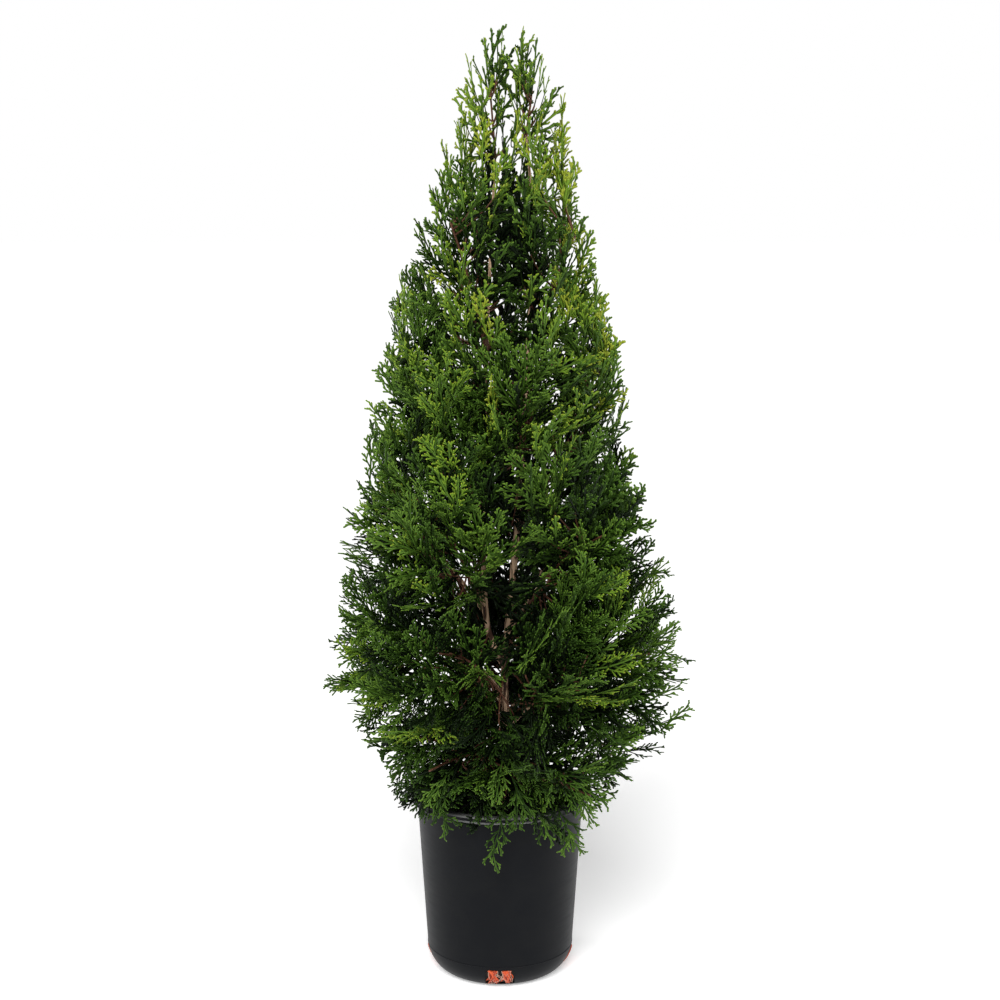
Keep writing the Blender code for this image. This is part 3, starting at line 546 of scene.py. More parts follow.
def drain_cutter(index):
    """A rounded box through the foot of the pot, where one drain hole is."""
    deselect()
    middle = (0, CORNER_WIDTH / 2 - WALL_FOOT_RADIUS, (DRAIN_TOP_Z + DRAIN_BOTTOM_Z) / 2)
    bpy.ops.mesh.primitive_cube_add(size=1.0, location=middle)
    cutter = bpy.context.object
    cutter.scale = (DRAIN_WIDTH, DRAIN_DEPTH, DRAIN_TOP_Z - DRAIN_BOTTOM_Z)
    bpy.ops.object.transform_apply(location=True, rotation=False, scale=True)
    bpy.ops.object.mode_set(mode="EDIT")
    bpy.ops.mesh.select_all(action="DESELECT")
    bpy.ops.object.mode_set(mode="OBJECT")
    for edge in cutter.data.edges:
        a, b = (cutter.data.vertices[i].co for i in edge.vertices)
        edge.select = abs(a.y - b.y) > DRAIN_DEPTH / 2
    bpy.ops.object.mode_set(mode="EDIT")
    bpy.ops.mesh.bevel(offset=DRAIN_ROUND, segments=6, affect="EDGES")
    bpy.ops.object.mode_set(mode="OBJECT")
    cutter.data.transform(Matrix.Rotation(math.tau * index / len(DRAIN_NAMES), 4, "Z"))
    return cutter


def cut(obj, cutter):
    """Takes the cutter's shape out of an object, and removes the cutter."""
    modifier = obj.modifiers.new("drain_hole", "BOOLEAN")
    modifier.object = cutter
    modifier.solver = "EXACT"
    select_only(obj)
    bpy.ops.object.modifier_apply(modifier=modifier.name)
    bpy.data.objects.remove(cutter)


def pot_finish(settings):
    """Satin black plastic with a fine moulded grain, a little dust, faint scuffs and a painted highlight on
    the lip.
    """
    finish = Finish("pot_plastic", Specular_IOR_Level=0.10)
    dust = finish.noise((1, 1, 1), 26.0, 4.0, 0.6)
    scuffs = finish.noise((30, 30, 220), 1.0, 2.0)
    grain = finish.noise((1, 1, 1), 900.0, 2.0)
    worn = finish.ramp(dust, ((0.42, (0, 0, 0)), (0.78, (1, 1, 1))))
    colour = finish.mix(worn * 0.35, settings.wall_colour, settings.dust_colour)
    coordinates = finish.add("ShaderNodeTexCoord", {}, {}, "Object")
    height = finish.add("ShaderNodeSeparateXYZ", {}, {"Vector": coordinates}, "Z")
    # Painted highlight: the lip's two beads are paler, most at the front, broken up by the dust noise.
    from_middle = height.math("ABSOLUTE", height - (POT_HEIGHT - LIP_HEIGHT / 2), 0.0)
    above = height.math("GREATER_THAN", height, POT_HEIGHT - LIP_HEIGHT)
    beads = height.math("GREATER_THAN", from_middle, LIP_HEIGHT / 2 - HIGHLIGHT_BEAD) * above
    front = finish.add("ShaderNodeSeparateXYZ", {}, {"Vector": coordinates}, "Y") * (-1 / LIP_RADIUS)
    highlighted = finish.ramp(front, ((0.80, (0.12, 0.12, 0.12)), (0.97, (1, 1, 1))))
    pale = beads * (0.4 + dust * 0.6) * highlighted
    finish.set("Base Color", finish.mix(pale, colour, settings.lip_highlight_colour))
    finish.set("Roughness", settings.roughness + scuffs * 0.14 + dust * 0.06)
    finish.bump(grain * 0.6 + scuffs * 0.4, 0.25, 0.0004)
    return finish.material


def mix_height(radius):
    """Height of the mix's low mound at a distance from the pot's axis."""
    share = min(max((radius - MIX_FLAT_RADIUS) / (MIX_RADIUS - MIX_FLAT_RADIUS), 0.0), 1.0)
    return MIX_CENTRE_Z + (MIX_EDGE_Z - MIX_CENTRE_Z) * share


def mix_profile():
    """The mix's section: the inside of the pot's foot and wall, and rings over its mound."""
    inset = WALL + CLEARANCE
    rings = [MIX_RADIUS * (1 - i / MIX_RINGS) for i in range(MIX_RINGS + 1)]
    return [*foot_profile(inset), *[(r, mix_height(r)) for r in rings]]


def mix_finish(settings):
    """Damp dark peat with drier crumbs."""
    finish = Finish("potting_mix", roughness=0.9)
    grain = finish.noise((1, 1, 1), 420.0, 5.0, 0.7)
    colour = finish.ramp(grain, ((0.45, settings.dark_colour), (0.72, settings.crumb_colour)))
    finish.set("Base Color", colour)
    finish.bump(grain, 0.8, 0.0015)
    return finish.material


def scatter_crumbs(settings):
    """Crumbs, bark chips and pale straws on the mix, with more of the straws near the front of the rim."""
    rng = random.Random(SEED)
    joined = Joined()
    for i in range(settings.crumbs + settings.straws):
        straw = i >= settings.crumbs
        radius = MIX_RADIUS * math.sqrt(rng.uniform(0.03, 0.93))
        azimuth = rng.uniform(-math.pi, math.pi)
        if straw and rng.random() < 0.5:
            radius, azimuth = rng.uniform(*FRONT_STRAW_RADII), rng.gauss(-0.1, 0.22)
        lump = rng.uniform(*CRUMB_SIZES)
        lift = STRAW_LIFT if straw else lump * 0.3
        place = outward(azimuth) * radius + Vector((0, 0, mix_height(radius) + lift))
        size = (lump, lump * 0.8, lump * 0.6)
        if straw:
            size = (rng.uniform(*STRAW_LENGTHS), STRAW_WIDTH, STRAW_THICKNESS)
        spin = Matrix.Rotation(rng.uniform(0, math.tau), 3, "Z")
        spin = spin @ Matrix.Rotation(rng.uniform(-0.3, 0.3), 3, "Y")
        points = [(spin @ Vector([a * b for a, b in zip(corner, size)])) + place for corner in LUMP_CORNERS]
        tone = 2 if straw else rng.choice((0, 0, 0, 1))
        tones = np.full(len(LUMP_FACES), tone)
        joined.add(np.array([tuple(p) for p in points]), np.array(LUMP_FACES), tones)
    finishes = [
        Finish("dark_crumb", settings.dark_colour, 0.9).material,
        Finish("dry_crumb", settings.crumb_colour, 0.9).material,
        Finish("pale_straw", settings.straw_colour, 0.8).material,
    ]
    return joined.build("crumbs_and_straws", finishes)


def hole_point(azimuth, across, z, depth):
    """A point in a drain hole: across it, at height z, and depth behind the pot's outer face."""
    drop = (CORNER_HEIGHT - z) / CORNER_HEIGHT
    out = CORNER_WIDTH * math.sqrt(max(1.0 - drop * drop, 0.0))
    radius = WALL_FOOT_RADIUS - CORNER_WIDTH + out - depth
    return outward(azimuth + across / radius) * radius + Vector((0, 0, z))


def grow_roots(azimuth, mats, rootlets, rng):
    """Two lumps of matted roots in a drain hole, with fine pale rootlets that cross them, one hanging out."""
    joined = Joined()
    half = DRAIN_WIDTH / 2
    for i in range(mats):
        lump = ROOT_LUMPS[i % 2]
        top = min(max(lump + rng.uniform(-0.006, 0.006), -half + 0.002), half - 0.002)
        foot = min(max(lump + rng.uniform(-0.010, 0.010), -half + 0.0015), half - 0.0015)
        depth = -0.0008 + 0.0034 * (i / mats)
        low = DRAIN_BOTTOM_Z + rng.uniform(0.0015, 0.0080)
        start, tone = (top, DRAIN_TOP_Z - 0.0012, depth), 1 if i % 3 == 2 else 0
        add_root(joined, azimuth, start, (foot, low, depth), ROOT_RADIUS, tone, rng)
    for i in range(rootlets):
        start = (rng.uniform(-half, half) * 0.9, DRAIN_TOP_Z - 0.001, -0.0002)
        end = (rng.uniform(-half, half) * 0.9, DRAIN_BOTTOM_Z + rng.uniform(0.0005, 0.006), -0.0008)
        add_root(joined, azimuth, start, end, ROOTLET_RADIUS, 2, rng)
    add_root(joined, azimuth, *HANGING_ROOTLET, 2, rng)
    return joined


def add_root(joined, azimuth, start, end, radius, tone, rng):
    """A wavy root between two places (across, z, depth) in a drain hole."""
    bow, twist = rng.uniform(-0.0035, 0.0035), rng.uniform(0, math.tau)
    points = []
    for i in range(ROOT_STEPS + 1):
        share = i / ROOT_STEPS
        across, z, depth = (a + (b - a) * share for a, b in zip(start, end))
        across += bow * math.sin(math.pi * share) + 0.0005 * math.sin(twist + share * 9)
        z = max(z + 0.0004 * math.cos(twist + share * 7), 0.0012)
        points.append(hole_point(azimuth, across, z, depth))
    radii = [radius * (1.1 - 0.5 * i / ROOT_STEPS) for i in range(ROOT_STEPS + 1)]
    joined.add(*tube(points, radii, 6, tone))


def smooth_point(points, share):
    """A point of the Catmull-Rom curve through evenly spread points, at share 0 to 1 of its length."""
    place = min(max(share, 0.0), 1.0) * (len(points) - 1)
    i = min(int(place), len(points) - 2)
    before = points[max(i - 1, 0)]
    after = points[min(i + 2, len(points) - 1)]
    a, b, t = points[i], points[i + 1], place - i
    return (
        a * 2
        + (b - before) * t
        + (before * 2 - a * 5 + b * 4 - after) * t**2
        + (a * 3 - before - b * 3 + after) * t**3
    ) / 2


class Limb:
    """A tapering limb: its centre points and radii."""

    def __init__(self, points, radii):
        self.points = points
        self.radii = radii

    def at_height(self, z):
        """(centre, unit direction, radius) where the limb passes height z."""
        for a, b, ra, rb in zip(self.points, self.points[1:], self.radii, self.radii[1:]):
            if z <= b.z or b is self.points[-1]:
                share = min(max((z - a.z) / (b.z - a.z), 0.0), 1.0)
                return a.lerp(b, share), (b - a).normalized(), ra + (rb - ra) * share

    def at(self, share):
        """(centre, unit direction, radius) at a share of the limb's points."""
        place = min(max(share, 0.0), 1.0) * (len(self.points) - 1)
        i = min(int(place), len(self.points) - 2)
        along = self.points[i + 1] - self.points[i]
        radius = self.radii[i] + (self.radii[i + 1] - self.radii[i]) * (place - i)
        return self.points[i] + along * (place - i), along.normalized(), radius


def upright_limb(guide, foot_radius, tip_radius, steps, flare=0.0):
    """A limb that climbs through guide points, with a flare of extra radius at its foot."""
    guide = [Vector(point) for point in guide]
    foot_z, top_z = guide[0].z, guide[-1].z
    points = [smooth_point(guide, i / steps) for i in range(steps + 1)]
    radii = []
    for point in points:
        share = (point.z - foot_z) / (top_z - foot_z)
        swell = flare * max(1.0 - (point.z - foot_z) / FLARE_HEIGHT, 0.0) ** 2
        radii.append(foot_radius + (tip_radius - foot_radius) * share**UPRIGHT_TAPER + swell)
    return Limb(points, radii)


class Cell:
    """One mass's own space: a wedge of the crown between two tier floors."""

    def __init__(self, tier_index, index):
        self.tier = TIERS[tier_index]
        self.above = TIERS[tier_index + 1] if tier_index + 1 < len(TIERS) else None
        edges = self.tier.edges
        start, end = edges[index], edges[(index + 1) % len(edges)]
        self.half = math.radians((end - start) % 360) / 2
        self.azimuth = math.radians(start) + self.half

    def span(self, layer):
        """The heights between which a layer of the crown lies in this cell."""
        bounds = []
        for tier in (self.tier, self.above):
            low, high = CROWN_BOTTOM_Z, CROWN_TOP_Z
            while tier and high - low > 0.001:
                z = (low + high) / 2
                above = z > tier.floor_z + tier.slope * crown_radius(z) * layer
                low, high = (low, z) if above else (z, high)
            bounds.append(high)
        return bounds


def mass_path(tier, aim, start):
    """Guide points from a limb's centre to the stem's far end, rising as the tier does, with a little sag."""
    rise = math.radians(tier.rise)
    slope = outward(aim) * math.cos(rise) + Vector((0, 0, math.sin(rise)))

    def place(length):
        return start + slope * length - Vector((0, 0, BOUGH_SAG * length * length))

    length = PATH_STEP
    while (place(length) - CROWN_AXIS).xy.length < STEM_SHARE * crown_radius(place(length).z):
        length += PATH_STEP
    return [place(length * i / 3) for i in range(4)]


def plan_masses(trunk, leader):
    """(name, cell, bough or None, stem) for each mass, from the skirt up to the crest."""
    rng = random.Random(SEED)
    plans = []
    for tier_index, tier in enumerate(TIERS):
        for i in range(len(tier.edges)):
            cell = Cell(tier_index, i)
            aim = cell.azimuth + math.radians(rng.uniform(-AZIMUTH_JITTER, AZIMUTH_JITTER))
            root_z = tier.root_z + tier.step_z * i
            crest = tier.name == "crest"
            on_leader = outward(cell.azimuth).x < 0 and (crest or root_z > LEADER_BOUGHS_Z)
            bearer = leader if on_leader else trunk
            name = f"{tier.name}_{i + 1}"
            if crest:
                start = bearer.points[-1]
                end = Vector((start.x + outward(aim).x * CREST_STEM_OUT, start.y, CREST_STEM_TOP_Z))
                path = [start.lerp(end, i / 3) for i in range(4)]
            else:
                path = mass_path(tier, aim, bearer.at_height(root_z)[0])
            bough = None
            if tier.reach:
                bough = stretch(path, 0.0, tier.reach, BOUGH_FOOT_RADIUS, BOUGH_TIP_RADIUS)
            foot_radius = bearer.radii[-1] if crest else BOUGH_TIP_RADIUS
            plans.append((name, cell, bough, stretch(path, tier.reach, 1.0, foot_radius, STEM_TIP_RADIUS)))
    return plans


def stretch(path, start, end, foot_radius, tip_radius, steps=10):
    """The limb along part of a path."""
    points = [smooth_point(path, start + (end - start) * i / steps) for i in range(steps + 1)]
    return Limb(points, [foot_radius + (tip_radius - foot_radius) * i / steps for i in range(steps + 1)])


def tube(points, radii, sides, tone):
    """A closed tube through points: (points, triangles, tones)."""
    points = [Vector(p) for p in points]
    last = len(points) - 1
    verts, triangles = [], []
    side = (points[1] - points[0]).orthogonal().normalized()
    for i, (centre, radius) in enumerate(zip(points, radii)):
        tangent = (points[min(i + 1, last)] - points[max(i - 1, 0)]).normalized()
        side = (side - tangent * side.dot(tangent)).normalized()
        other = tangent.cross(side)
        for k in range(sides):
            angle = math.tau * k / sides
            verts.append(centre + (side * math.cos(angle) + other * math.sin(angle)) * radius)
    for i in range(last):
        for k in range(sides):
            after = (k + 1) % sides
            a, b, c, d = i * sides + k, i * sides + after, (i + 1) * sides + after, (i + 1) * sides + k
            triangles += [(a, b, c), (a, c, d)]
    for k in range(1, sides - 1):
        triangles += [(0, k + 1, k), (last * sides, last * sides + k, last * sides + k + 1)]
    return np.array([tuple(v) for v in verts]), np.array(triangles), np.full(len(triangles), tone)


def flat_twig(centres, widths, tone, lit_tip_tone):
    """A leafy twig in a spray's plane: a low ridge over a flat underside, closed and pointed at its end."""
    centres = np.asarray(centres)
    tangents = np.gradient(centres, axis=0)
    tangents /= np.linalg.norm(tangents, axis=1)[:, None]
    sides = np.stack([-tangents[:, 1], tangents[:, 0], np.zeros(len(centres))], axis=1)
    rings = len(centres) - 1
    verts = np.empty((rings * 3 + 1, 3))
    for i in range(rings):
        verts[3 * i] = centres[i] - sides[i] * widths[i] / 2
        verts[3 * i + 1] = centres[i] + sides[i] * widths[i] / 2
        verts[3 * i + 2] = centres[i] + (0, 0, LEAF_THICKNESS)
    verts[-1] = centres[-1] + (0, 0, LEAF_THICKNESS * 0.3)
    triangles = [(0, 1, 2)]
    for i in range(rings - 1):
        for a, b in ((0, 1), (1, 2), (2, 0)):
            low, high = 3 * i, 3 * (i + 1)
            triangles += [(low + b, low + a, high + a), (low + b, high + a, high + b)]
    low, tip = 3 * (rings - 1), rings * 3
    triangles += [(low + b, low + a, tip) for a, b in ((0, 1), (1, 2), (2, 0))]
    tones = np.full(len(triangles), tone)
    # Painted highlight: the pointed end takes the lighter tip tone.
    tones[-3:] = lit_tip_tone
    return verts, np.array(triangles), tones


def spray_template(shape, length, rng):
    """A flat spray along +Y: an axis with side twigs in turn on both sides, each with its own fingers."""
    joined = Joined()
    sway = rng.uniform(-0.06, 0.06) * length
    steps = max(int(length / 0.018), 3)

    def axis(share):
        return np.array((sway * math.sin(math.pi * share), length * share, 0.0))

    shares = [i / steps for i in range(steps)] + [0.97, 1.0]
    # Painted shade and light: the axis is a tone darker than the spray, and its tip a tone lighter.
    joined.add(*flat_twig([axis(s) for s in shares], [shape.width * 1.15] * len(shares), -1, 1))
    y, side = length * 0.08, rng.choice((-1, 1))
    while y < length * 0.93:
        share = y / length
        full = shape.reach * length * (1.0 - (share - 0.34) ** 2 / 0.60) * rng.uniform(0.80, 1.15)
        lean = math.radians(shape.angle + rng.uniform(-5, 5))
        add_side_twig(joined, shape, axis(share), side, lean, max(full, SHORTEST_TWIG), rng)
        side = -side
        y += shape.spacing * rng.uniform(0.85, 1.15)
    return joined.arrays()


def add_side_twig(joined, shape, start, side, lean, length, rng):
    """A side twig that curves forwards, and its fingers in turn on both sides, from near its tip back."""
    forward = lean * 0.45
    tilt = rng.uniform(-0.22, 0.30)

    def place(share):
        angle = lean + (forward - lean) * share / 2
        return start + np.array((side * math.sin(angle), math.cos(angle), tilt)) * length * share

    width = shape.width * rng.uniform(0.9, 1.1)
    shares = (0.0, 0.5, 0.93, 1.0) if length > 0.014 else (0.0, 0.88, 1.0)
    points, triangles, tones = flat_twig([place(s) for s in shares], [width * 0.9, width, width], 0, 1)
    # Painted shade: the twig's foot, its end cap and first segment, is a tone darker.
    tones[:7] = -1
    joined.add(points, triangles, tones)
    fingers = min(shape.fingers, int(length / 0.006))
    turn = -side if rng.random() < 0.5 else side
    for k in range(fingers):
        share = 0.80 - 0.56 * (k + rng.uniform(0.0, 0.5)) / max(fingers, 2)
        own = min(length * 0.45, shape.finger_length) * rng.uniform(0.7, 1.2)
        angle = side * (lean + (forward - lean) * share) + turn * math.radians(rng.uniform(22, 35))
        along = np.array((math.sin(angle), math.cos(angle), tilt)) * own
        foot = place(share)
        joined.add(*flat_twig([foot, foot + along * 0.86, foot + along], [width * 0.8, width * 1.1], 0, 1))
        turn = -turn


def spray_templates():
    """Templates of each shape: a list of lengths, each with its variants."""
    rng = random.Random(SEED)
    made = {}
    for label, shape in SPRAY_SHAPES.items():
        made[label] = [
            [spray_template(shape, length, rng) for _ in range(SPRAY_VARIANTS)] for length in SPRAY_LENGTHS
        ]
    return made


def placed_spray(template, foot, along, up, size, curl, cup, mirror):
    """A template set on its foot, curled along its length and cupped across it."""
    points, triangles, tones = template
    across = along.cross(up)
    x, y, z = (points * size).T
    if mirror:
        x = -x
        triangles = triangles[:, ::-1]
    z = z + cup * x * x
    angle = curl * y
    reach = np.sin(angle) / curl - z * np.sin(angle)
    lift = (1.0 - np.cos(angle)) / curl + z * np.cos(angle)
    placed = np.outer(x, across) + np.outer(reach, along) + np.outer(lift, up)
    return placed + np.array(foot), triangles, tones


def in_front_gap(point):
    """Whether a point would hide the trunk or the fork from the front, where they show."""
    if point.y > 0.0:
        return False
    closer = CAMERA_DISTANCE / (CAMERA_DISTANCE + point.y)
    x, z = point.x * closer, CAMERA_HEIGHT - (CAMERA_HEIGHT - point.z) * closer
    return any(low < z < high and abs(x - middle) < half for middle, half, low, high in FRONT_GAPS)


def in_pot(point):
    """Whether a point is in the pot's wall, its lip or the mix, or too near them."""
    radius = point.xy.length
    by_pot = point.z < POT_HEIGHT + POT_CLEARANCE and radius < LIP_RADIUS + POT_CLEARANCE
    over_mix = point.z > MIX_CENTRE_Z + MIX_CLEARANCE and radius < WALL_TOP_RADIUS - WALL_CLEARANCE
    return by_pot and not over_mix


def outside_crown(point):
    """Whether a point would stand out of the crown, which draws in at its waist above the pot."""
    offset = point - crown_centre(point.z)
    waist_z = WAIST_LEFT_Z if offset.x < 0 else WAIST_RIGHT_Z
    spare = -WAIST_INSET if point.z < waist_z else CROWN_SPARE
    return point.z > CROWN_TOP_Z + TOP_SPARE or offset.xy.length > crown_radius(point.z) + spare


class Plume:
    """A leafy branch: a quadratic curve from foot to tip, its flat side's normal, its looks and its size."""

    def __init__(self, foot, base, tip, up, shape, tone, size=1.0, seen=False):
        self.foot, self.base, self.tip, self.up = foot, base, tip, up
        self.shape, self.tone, self.size, self.seen = shape, tone, size, seen

    def at(self, share):
        a, b, c = self.foot, self.base, self.tip
        point = a * (1 - share) ** 2 + b * 2 * share * (1 - share) + c * share**2
        return point, ((b - a) * (1 - share) + (c - b) * share).normalized()


def plan_plume(cell, stem, index, count, layer, rng):
    """The plume whose tip reaches a layer of the crown in this cell."""
    tier = cell.tier
    spread = 2 * ((index * GOLDEN + rng.uniform(0, 0.08) + cell.azimuth) % 1.0) - 1
    azimuth = cell.azimuth + spread * cell.half * 0.96
    bottom, top = cell.span(layer)
    level = (index + rng.uniform(0.1, 0.9)) / count
    z = bottom + (top - bottom) * level
    tip = crown_centre(z) + outward(azimuth) * crown_radius(z) * layer + Vector((0, 0, z))
    low, high = tier.blade_rise
    rise = math.radians(low + (high - low) * min(max(level + rng.uniform(-0.25, 0.25), 0.0), 1.0))
    yaw = azimuth + math.radians(rng.uniform(-PLUME_YAW, PLUME_YAW))
    direction = outward(yaw) * math.cos(rise) + Vector((0, 0, math.sin(rise)))
    length = tier.length * rng.uniform(0.85, 1.15)
    base = tip - direction * length * PLUME_STRAIGHT
    foot = nearest_on(stem, base, direction)
    face = outward(azimuth)
    up = (face - direction * face.dot(direction)).normalized()
    turn = rng.choice((0, 90)) + rng.uniform(-28, 28)
    up = Matrix.Rotation(math.radians(turn), 3, direction) @ up
    shape = tier.shape if layer > OUTER_LAYER or tier.name == "crest" else "inner"
    return Plume(foot, base, tip, up, shape, rng.gauss(0.0, PLUME_VARIETY))


def seen_plume(size, tone, foot, halfway, tip, shape):
    """A plume that shows in the photo, with its flat side towards the viewer."""
    foot, halfway, tip = Vector(foot), Vector(halfway), Vector(tip)
    base = halfway * 2 - (foot + tip) / 2
    return Plume(foot, base, tip, Vector((0.1, -0.97, 0.2)).normalized(), shape, tone, size, seen=True)


def nearest_on(stem, point, direction):
    """Where on a stem a plume best starts: near its base, and behind it."""
    best, best_cost = None, math.inf
    for i in range(21):
        place = stem.at(i / 20)[0]
        reach = point - place
        cost = reach.length + 1.5 * max(reach.length * 0.5 - reach.dot(direction), 0.0)
        if cost < best_cost:
            best, best_cost = place, cost
    return best


def spray_tone(point, plume, rng):
    """A spray's tone: painted shade inside the crown, painted light outside, lighter and yellower near the
    top.
    """
    # Painted shade: the inner plumes' sprays take the two darkest tones.
    if plume.shape == "inner":
        return rng.choice((0, 0, 1))
    depth = (point - crown_centre(point.z)).xy.length / max(crown_radius(point.z), 0.03)
    height = (point.z - CROWN_BOTTOM_Z) / (CROWN_TOP_Z - CROWN_BOTTOM_Z)
    (out_weight, out_power), (up_weight, up_power) = PAINTED_LIGHT_OUTWARDS, TONE_UPWARDS
    tone = LEAST_TONE + out_weight * min(depth, 1.0) ** out_power + up_weight * height**up_power
    tone += plume.tone
    tone += rng.gauss(0.0, SPRAY_VARIETY)
    return min(max(round(tone), 0), HIGHEST_TONE if height > FRESH_ABOVE else HIGHEST_LOW_TONE)


def grow_plume(leaves, twigs, plume, tier, templates, rng):
    """A plume's sprays, in turn on both sides, and the twig that bears them: wood at first, then green."""
    length = (plume.tip - plume.foot).length
    gap = INNER_SPRAY_GAP if plume.shape == "inner" else SPRAY_GAP
    spacing = gap * plume.size / max(length, 0.05)
    share = SEEN_START if plume.seen else max(1.0 - spacing * GAPS_WITH_SPRAYS, LEAST_START)
    side = rng.choice((-1, 1))
    borne = 0.0
    while share < LAST_SPRAY:
        if add_spray(leaves, plume, share, side, tier, templates, rng):
            borne = share
        side = -side
        share += spacing * rng.uniform(0.85, 1.15)
    if add_spray(leaves, plume, END_SPRAY, 0, tier, templates, rng):
        borne = max(borne, END_SPRAY)
    points = [plume.at(borne * i / 8)[0] for i in range(9)]
    radii = [PLUME_FOOT_RADIUS - PLUME_THINNING * borne * i / 8 for i in range(9)]
    if borne and not any(in_pot(point) for point in points):
        twigs.add(*tube(points[:5], radii[:5], 4, 0))
        leaves.add(*tube(points[4:], radii[4:], 3, 1))


def add_spray(leaves, plume, share, side, tier, templates, rng):
    """Adds a spray and returns True, unless it would enter the pot, leave the crown or hide the front gap.

    A plume that shows in the photo may leave the crown and cross the front gap.
    """
    foot, along = plume.at(share)
    turn = math.radians(rng.uniform(*SPRAY_TURN)) * side
    roll = math.radians(rng.uniform(-SPRAY_ROLL, SPRAY_ROLL))
    up = (plume.up - along * plume.up.dot(along)).normalized()
    along = Matrix.Rotation(turn, 3, up) @ along
    up = Matrix.Rotation(roll, 3, along) @ up
    wanted = tier.length * plume.size * (0.60 - 0.14 * share if side else 0.50) * rng.uniform(0.85, 1.1)
    curl = tier.bend * rng.uniform(0.5, 1.5)
    if up.z < 0:
        curl = -curl
    end = foot + along * wanted
    if not plume.seen and outside_crown(end):
        wanted *= TRIMMED
        end = foot + along * wanted
    middle = foot + along * wanted * 0.5
    for point in (end, middle, foot):
        if in_pot(point) or not plume.seen and (outside_crown(point) or in_front_gap(point)):
            return False
    index = min(range(len(SPRAY_LENGTHS)), key=lambda i: abs(SPRAY_LENGTHS[i] - wanted))
    template = templates[plume.shape][index][rng.randrange(SPRAY_VARIANTS)]
    size = wanted / SPRAY_LENGTHS[index]
    cup = rng.uniform(-6, 6)
    mirror = rng.random() < 0.5
    points, triangles, tones = placed_spray(template, foot, along, up, size, curl, cup, mirror)
    leaves.add(points, triangles, np.clip(tones + spray_tone(middle, plume, rng), 0, len(TONES) - 1))
    return True


def leaf_finish(name, colour):
    return Finish(name, colour, 0.55, Specular_IOR_Level=0.14).material


def bark_finish(name, settings):
    """Thin stringy bark: red-brown, with pale tan strips and dark splits that run up the stem."""
    finish = Finish(name, roughness=0.8)
    strips = finish.noise((260, 260, 18), 1.0, 4.0, 0.6)
    patches = finish.noise((1, 1, 0.35), 42.0, 3.0)
    fibres = finish.noise((1500, 1500, 60), 1.0, 2.0)
    stops = ((0.40, settings.split_colour), (0.47, settings.bark_colour), (0.53, settings.strip_colour))
    colour = finish.ramp(strips * 0.65 + patches * 0.35, stops)
    finish.set("Base Color", colour)
    finish.bump(strips * 0.8 + fibres * 0.3, 0.6, 0.0008)
    return finish.material


def twig_finish():
    return Finish("young_twig", (0.100, 0.036, 0.015), 0.7).material


def limb_object(name, limb, sides, relief):
    """A limb as a bevelled curve made a mesh, with the bark's relief pushed into it."""
    curve = bpy.data.curves.new(name, "CURVE")
    curve.dimensions = "3D"
    curve.bevel_depth = 1.0
    curve.bevel_resolution = sides // 4
    curve.use_fill_caps = True
    spline = curve.splines.new("POLY")
    spline.points.add(len(limb.points) - 1)
    for point, centre, radius in zip(spline.points, limb.points, limb.radii):
        point.co = (*centre, 1.0)
        point.radius = radius
    select_only(placed_object(name, curve))
    bpy.ops.object.convert(target="MESH")
    obj = bpy.context.object
    bpy.ops.object.mode_set(mode="EDIT")
    close_mesh(1e-6)
    roughen(obj.data, limb, relief)
    obj.data.shade_smooth()
    return obj


def roughen(mesh, limb, relief):
    """Pushes points along their normals by a noise that is stretched up the limb."""
    normals = [vertex.normal.copy() for vertex in mesh.vertices]
    for vertex, normal in zip(mesh.vertices, normals):
        place = vertex.co
        strips = noise.noise(Vector((place.x * 420, place.y * 420, place.z * 24)))
        lumps = noise.noise(Vector((place.x * 60, place.y * 60, place.z * 40)))
        vertex.co = place + normal * relief * (0.6 * strips + 0.6 * lumps)


def colour(name, description, default):
    """A colour that a user may change."""
    return bpy.props.FloatVectorProperty(name=name, description=description, subtype="COLOR", default=default)


class ArborvitaePot(bpy.types.PropertyGroup):
    wall_colour: colour("Plastic colour", "Colour of the pot's plastic", (0.0036, 0.0042, 0.0056))
    dust_colour: colour("Dust colour", "Colour of the dust on the pot", (0.0090, 0.0095, 0.0092))
    # Colour of the painted highlight on the lip's beads
    lip_highlight_colour: colour("Lip colour", "Colour of the rubbed lip", (0.240, 0.242, 0.236))
    roughness: bpy.props.FloatProperty(
        name="Roughness", description="Least roughness of the plastic", default=0.36, min=0.0, max=1.0
    )


class ArborvitaeMix(bpy.types.PropertyGroup):
    dark_colour: colour("Peat colour", "Colour of the dark peat", (0.004, 0.003, 0.002))
    crumb_colour: colour("Crumb colour", "Colour of the drier crumbs", (0.018, 0.011, 0.007))
    straw_colour: colour("Straw colour", "Colour of the pale bits", (0.42, 0.30, 0.15))
    crumbs: bpy.props.IntProperty(name="Crumbs", description="Number of crumbs and chips", default=620, min=0)
    straws: bpy.props.IntProperty(name="Straws", description="Number of pale bits", default=70, min=0)


class ArborvitaeRoots(bpy.types.PropertyGroup):
    root_colour: colour("Root colour", "Colour of the matted roots", (0.56, 0.075, 0.014))
    old_colour: colour("Old root colour", "Colour of the deeper roots", (0.30, 0.032, 0.008))
    tip_colour: colour("Rootlet colour", "Colour of the fine rootlets", (0.62, 0.36, 0.27))


class ArborvitaeBark(bpy.types.PropertyGroup):
    bark_colour: colour("Bark colour", "Colour of the bark between its strips", (0.120, 0.056, 0.030))
    strip_colour: colour("Strip colour", "Colour of the pale strips", (0.780, 0.530, 0.340))
    split_colour: colour("Split colour", "Colour in the bark's splits", (0.026, 0.012, 0.008))
    relief: bpy.props.FloatProperty(
        name="Relief", description="Depth of the bark's relief on the trunk", default=0.0007, unit="LENGTH"
    )


class ArborvitaeFoliage(bpy.types.PropertyGroup):
    seed: bpy.props.IntProperty(name="Seed", description="Seed of the plumes and sprays", default=SEED)


